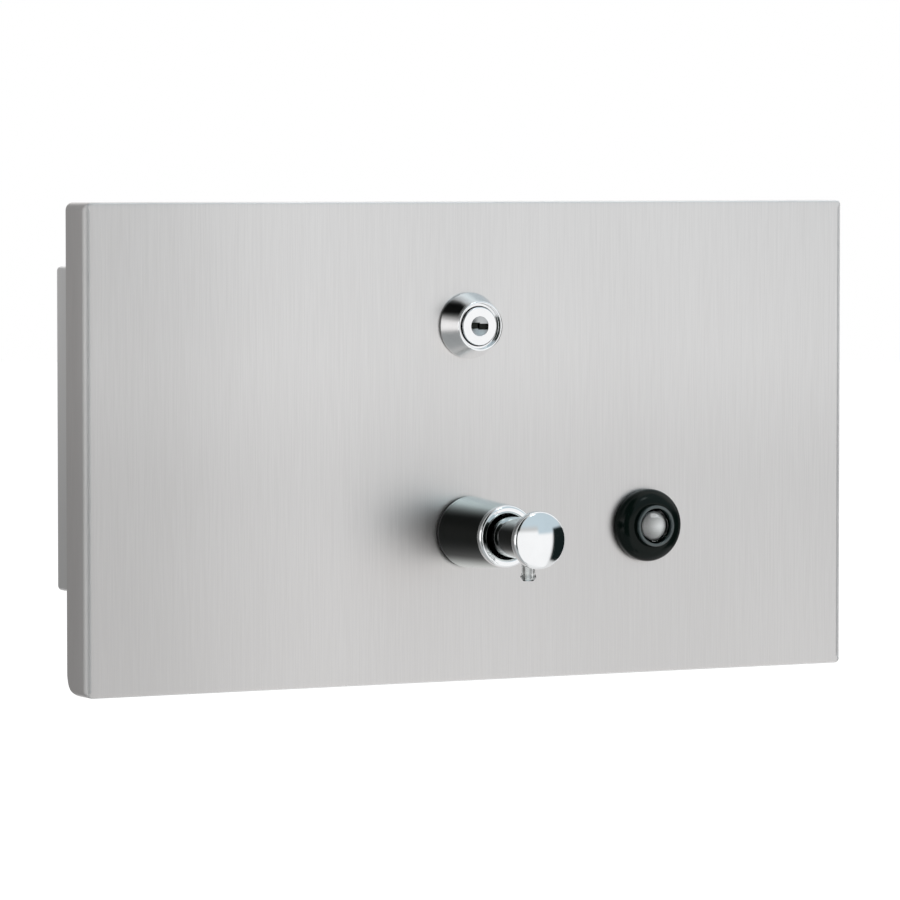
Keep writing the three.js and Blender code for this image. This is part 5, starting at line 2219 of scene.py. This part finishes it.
@dataclass
class Studio:
    """The camera, the floor, the lamps and the surroundings."""

    camera_place: tuple[float, float, float] = (-0.78665, -1.55129, 0.08015)
    yaw: float = 28.0
    pitch: float = -2.93
    lens: float = 224.64
    sensor: float = 36.0
    floor_level: float = -0.3
    floor_reach: float = 9.0
    floor_grey: float = 0.82
    floor_glow: float = 0.55
    diffuse_level: float = 0.62
    surround: Colour = (0.62, 0.63, 0.63)
    cards: tuple[Card, ...] = (
        Card(-190.0, -112.0, -95.0, 95.0, (0.44, 0.44, 0.44), 26.0),
        Card(88.0, 176.0, -34.0, 30.0, (1.25, 1.25, 1.25), 14.0),
        Card(-112.0, -60.0, -95.0, 30.0, (0.5, 0.5, 0.5), 20.0),
        Card(-62.0, 46.0, -84.0, -22.0, (0.94, 0.95, 0.95), 9.0),
        Card(-82.0, -22.0, -70.0, -16.0, (0.42, 0.45, 0.46), 8.0),
        Card(-100.0, -50.0, -13.0, 15.0, (1.6, 1.6, 1.6), 8.0),
        Card(-14.0, 46.0, -37.0, 9.0, (1.07, 1.07, 1.07), 7.0),
        Card(-4.0, 64.0, 15.0, 62.0, (0.6, 0.71, 0.77), 8.0),
        Card(22.0, 62.0, 5.0, 20.0, (0.6, 0.71, 0.77), 6.0),
        Card(62.0, 176.0, 20.0, 95.0, (1.1, 1.1, 1.1), 10.0),
        Card(-8.0, 176.0, 60.0, 95.0, (1.1, 1.1, 1.1), 8.0),
        Card(46.0, 176.0, -95.0, -27.0, (0.84, 0.84, 0.84), 8.0),
        Card(47.0, 92.0, -26.0, 10.0, (0.008, 0.014, 0.014), 4.0),
        Card(-70.0, -15.0, 25.0, 68.0, (0.0, 0.004, 0.002), 5.0),
        Card(-49.0, -14.0, -22.0, 12.0, (0.02, 0.028, 0.024), 6.0),
        Card(-49.0, -6.0, 11.0, 30.0, (0.02, 0.028, 0.024), 5.0),
        Card(-12.0, 0.0, -62.0, -48.0, (0.2, 0.21, 0.21), 4.0),
        Card(10.0, 24.0, 38.0, 47.0, (4.0, 4.4, 4.4), 5.0),
    )

    def build(self) -> None:
        """Sets up the whole stage."""
        self.build_camera()
        self.build_floor()
        self.build_world()
        self.build_lamps()
        bpy.context.scene.view_settings.view_transform = "Standard"

    def build_camera(self) -> None:
        """Sets the camera where the photograph was taken from."""
        lens = bpy.data.cameras.new("photo_camera")
        lens.lens = self.lens
        lens.sensor_width = self.sensor
        lens.clip_start = 0.05
        lens.clip_end = 60.0
        camera = bpy.data.objects.new("photo_camera", lens)
        yaw = math.radians(self.yaw)
        pitch = math.radians(self.pitch)
        ahead = Vector((math.sin(yaw) * math.cos(pitch), math.cos(yaw) * math.cos(pitch), math.sin(pitch)))
        camera.location = self.camera_place
        camera.rotation_euler = ahead.to_track_quat("-Z", "Y").to_euler()
        bpy.context.scene.collection.objects.link(camera)
        bpy.context.scene.camera = camera

    def build_floor(self) -> None:
        """Lays a pale floor that shows white to the camera and keeps the object's shadow."""
        angle = np.linspace(0, FULL_TURN, 96, endpoint=False)
        rim = np.stack((np.cos(angle), np.sin(angle), np.zeros_like(angle)), axis=1)
        rim *= self.floor_reach / MM
        skin = Skin(rim, [list(range(len(rim)))]).moved(0.0, 0.0, self.floor_level / MM)
        floor = bpy.data.objects.new("studio_floor", skin.mesh("studio_floor"))
        bpy.context.scene.collection.objects.link(floor)
        material = bpy.data.materials.new("studio_floor")
        material.use_nodes = True
        nodes = Nodes(material.node_tree)
        paint = nodes.signal("ShaderNodeBsdfDiffuse", 0, {}, {"Color": rgba((self.floor_grey,) * 3)})
        glow = nodes.signal("ShaderNodeEmission", 0, {}, {"Strength": self.seen(nodes) * self.floor_glow})
        both = nodes.signal("ShaderNodeAddShader", 0, {}, {0: paint, 1: glow})
        nodes.make("ShaderNodeOutputMaterial", {}, {"Surface": both})
        floor.data.materials.append(material)
        floor.visible_glossy = False
        floor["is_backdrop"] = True
        log.info("studio_floor")

    @staticmethod
    def seen(nodes: Nodes) -> Signal:
        """Gives 1 where the camera looks, straight or through glass, and 0 for the light on a surface."""
        path = nodes.make("ShaderNodeLightPath")
        names = ("Is Camera Ray", "Is Transmission Ray")
        camera, passed = (Signal(nodes, path.outputs[name]) for name in names)
        return camera.larger(passed)

    def build_world(self) -> None:
        """Makes the surroundings: white behind, soft cards round about for metal, and plain light.

        A ray's azimuth is the arc tangent of its X over its -Y, and its elevation the arc sine of its
        Z. Each card is the product of two smooth bands of those angles.
        """
        world = bpy.data.worlds.new("studio")
        world.use_nodes = True
        bpy.context.scene.world = world
        nodes = Nodes(world.node_tree)
        x, y, z = nodes.parts(nodes.signal("ShaderNodeTexCoord", "Generated"))
        degrees = 180.0 / HALF_TURN
        azimuth = x.heading(-y) * degrees
        elevation = z.arc_sine() * degrees
        colour: Setting = rgba(self.surround)
        for card in self.cards:
            across = azimuth.within(card.left, card.right, card.soft / 2)
            upward = elevation.within(card.low, card.high, card.soft / 2)
            colour = nodes.mixed(across * upward, colour, rgba(card.colour))
        glossy = nodes.signal("ShaderNodeLightPath", "Is Glossy Ray")
        level = rgba((self.diffuse_level,) * 3)
        light = nodes.mixed(glossy, level, colour)
        shown = nodes.mixed(self.seen(nodes), light, rgba((1.0, 1.0, 1.0)))
        background = nodes.signal("ShaderNodeBackground", 0, {}, {"Color": shown, "Strength": 1.0})
        nodes.make("ShaderNodeOutputWorld", {}, {"Surface": background})

    def build_lamps(self) -> None:
        """Hangs a large soft lamp to the front right and a weaker one to the left."""
        self.lamp("key_lamp", (1.5, -2.2, 1.5), 1.6, 34.0)
        self.lamp("fill_lamp", (-2.0, -1.4, 1.2), 1.4, 10.0)

    @staticmethod
    def lamp(name: str, place: Sequence[float], size: float, power: float) -> None:
        """Hangs a square lamp that faces the object and leaves the cards to show in metal.

        Args:
            name: Its name.
            place: Its place in metres.
            size: Its width in metres.
            power: Its power in watts.
        """
        light = bpy.data.lights.new(name, "AREA")
        light.size = size
        light.energy = power
        lamp = bpy.data.objects.new(name, light)
        lamp.location = place
        lamp.rotation_euler = (-Vector(place)).to_track_quat("-Z", "Y").to_euler()
        lamp.visible_glossy = False
        bpy.context.scene.collection.objects.link(lamp)


def corners() -> list[list[float]]:
    """Gives the lowest and highest corner of the shown object as plain numbers."""
    return [list(corner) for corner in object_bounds()]


def main() -> None:
    """Builds the dispenser and its stage."""
    logging.basicConfig(level=logging.INFO, format="%(message)s")
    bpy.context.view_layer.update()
    for assembly in (FrontPanel(), WallBox(), CamLock(), PushValve(), SightGlass(), Tank(), Studio()):
        assembly.build()
        log.info("%s done", type(assembly).__name__)


if __name__ == "__main__":
    main()
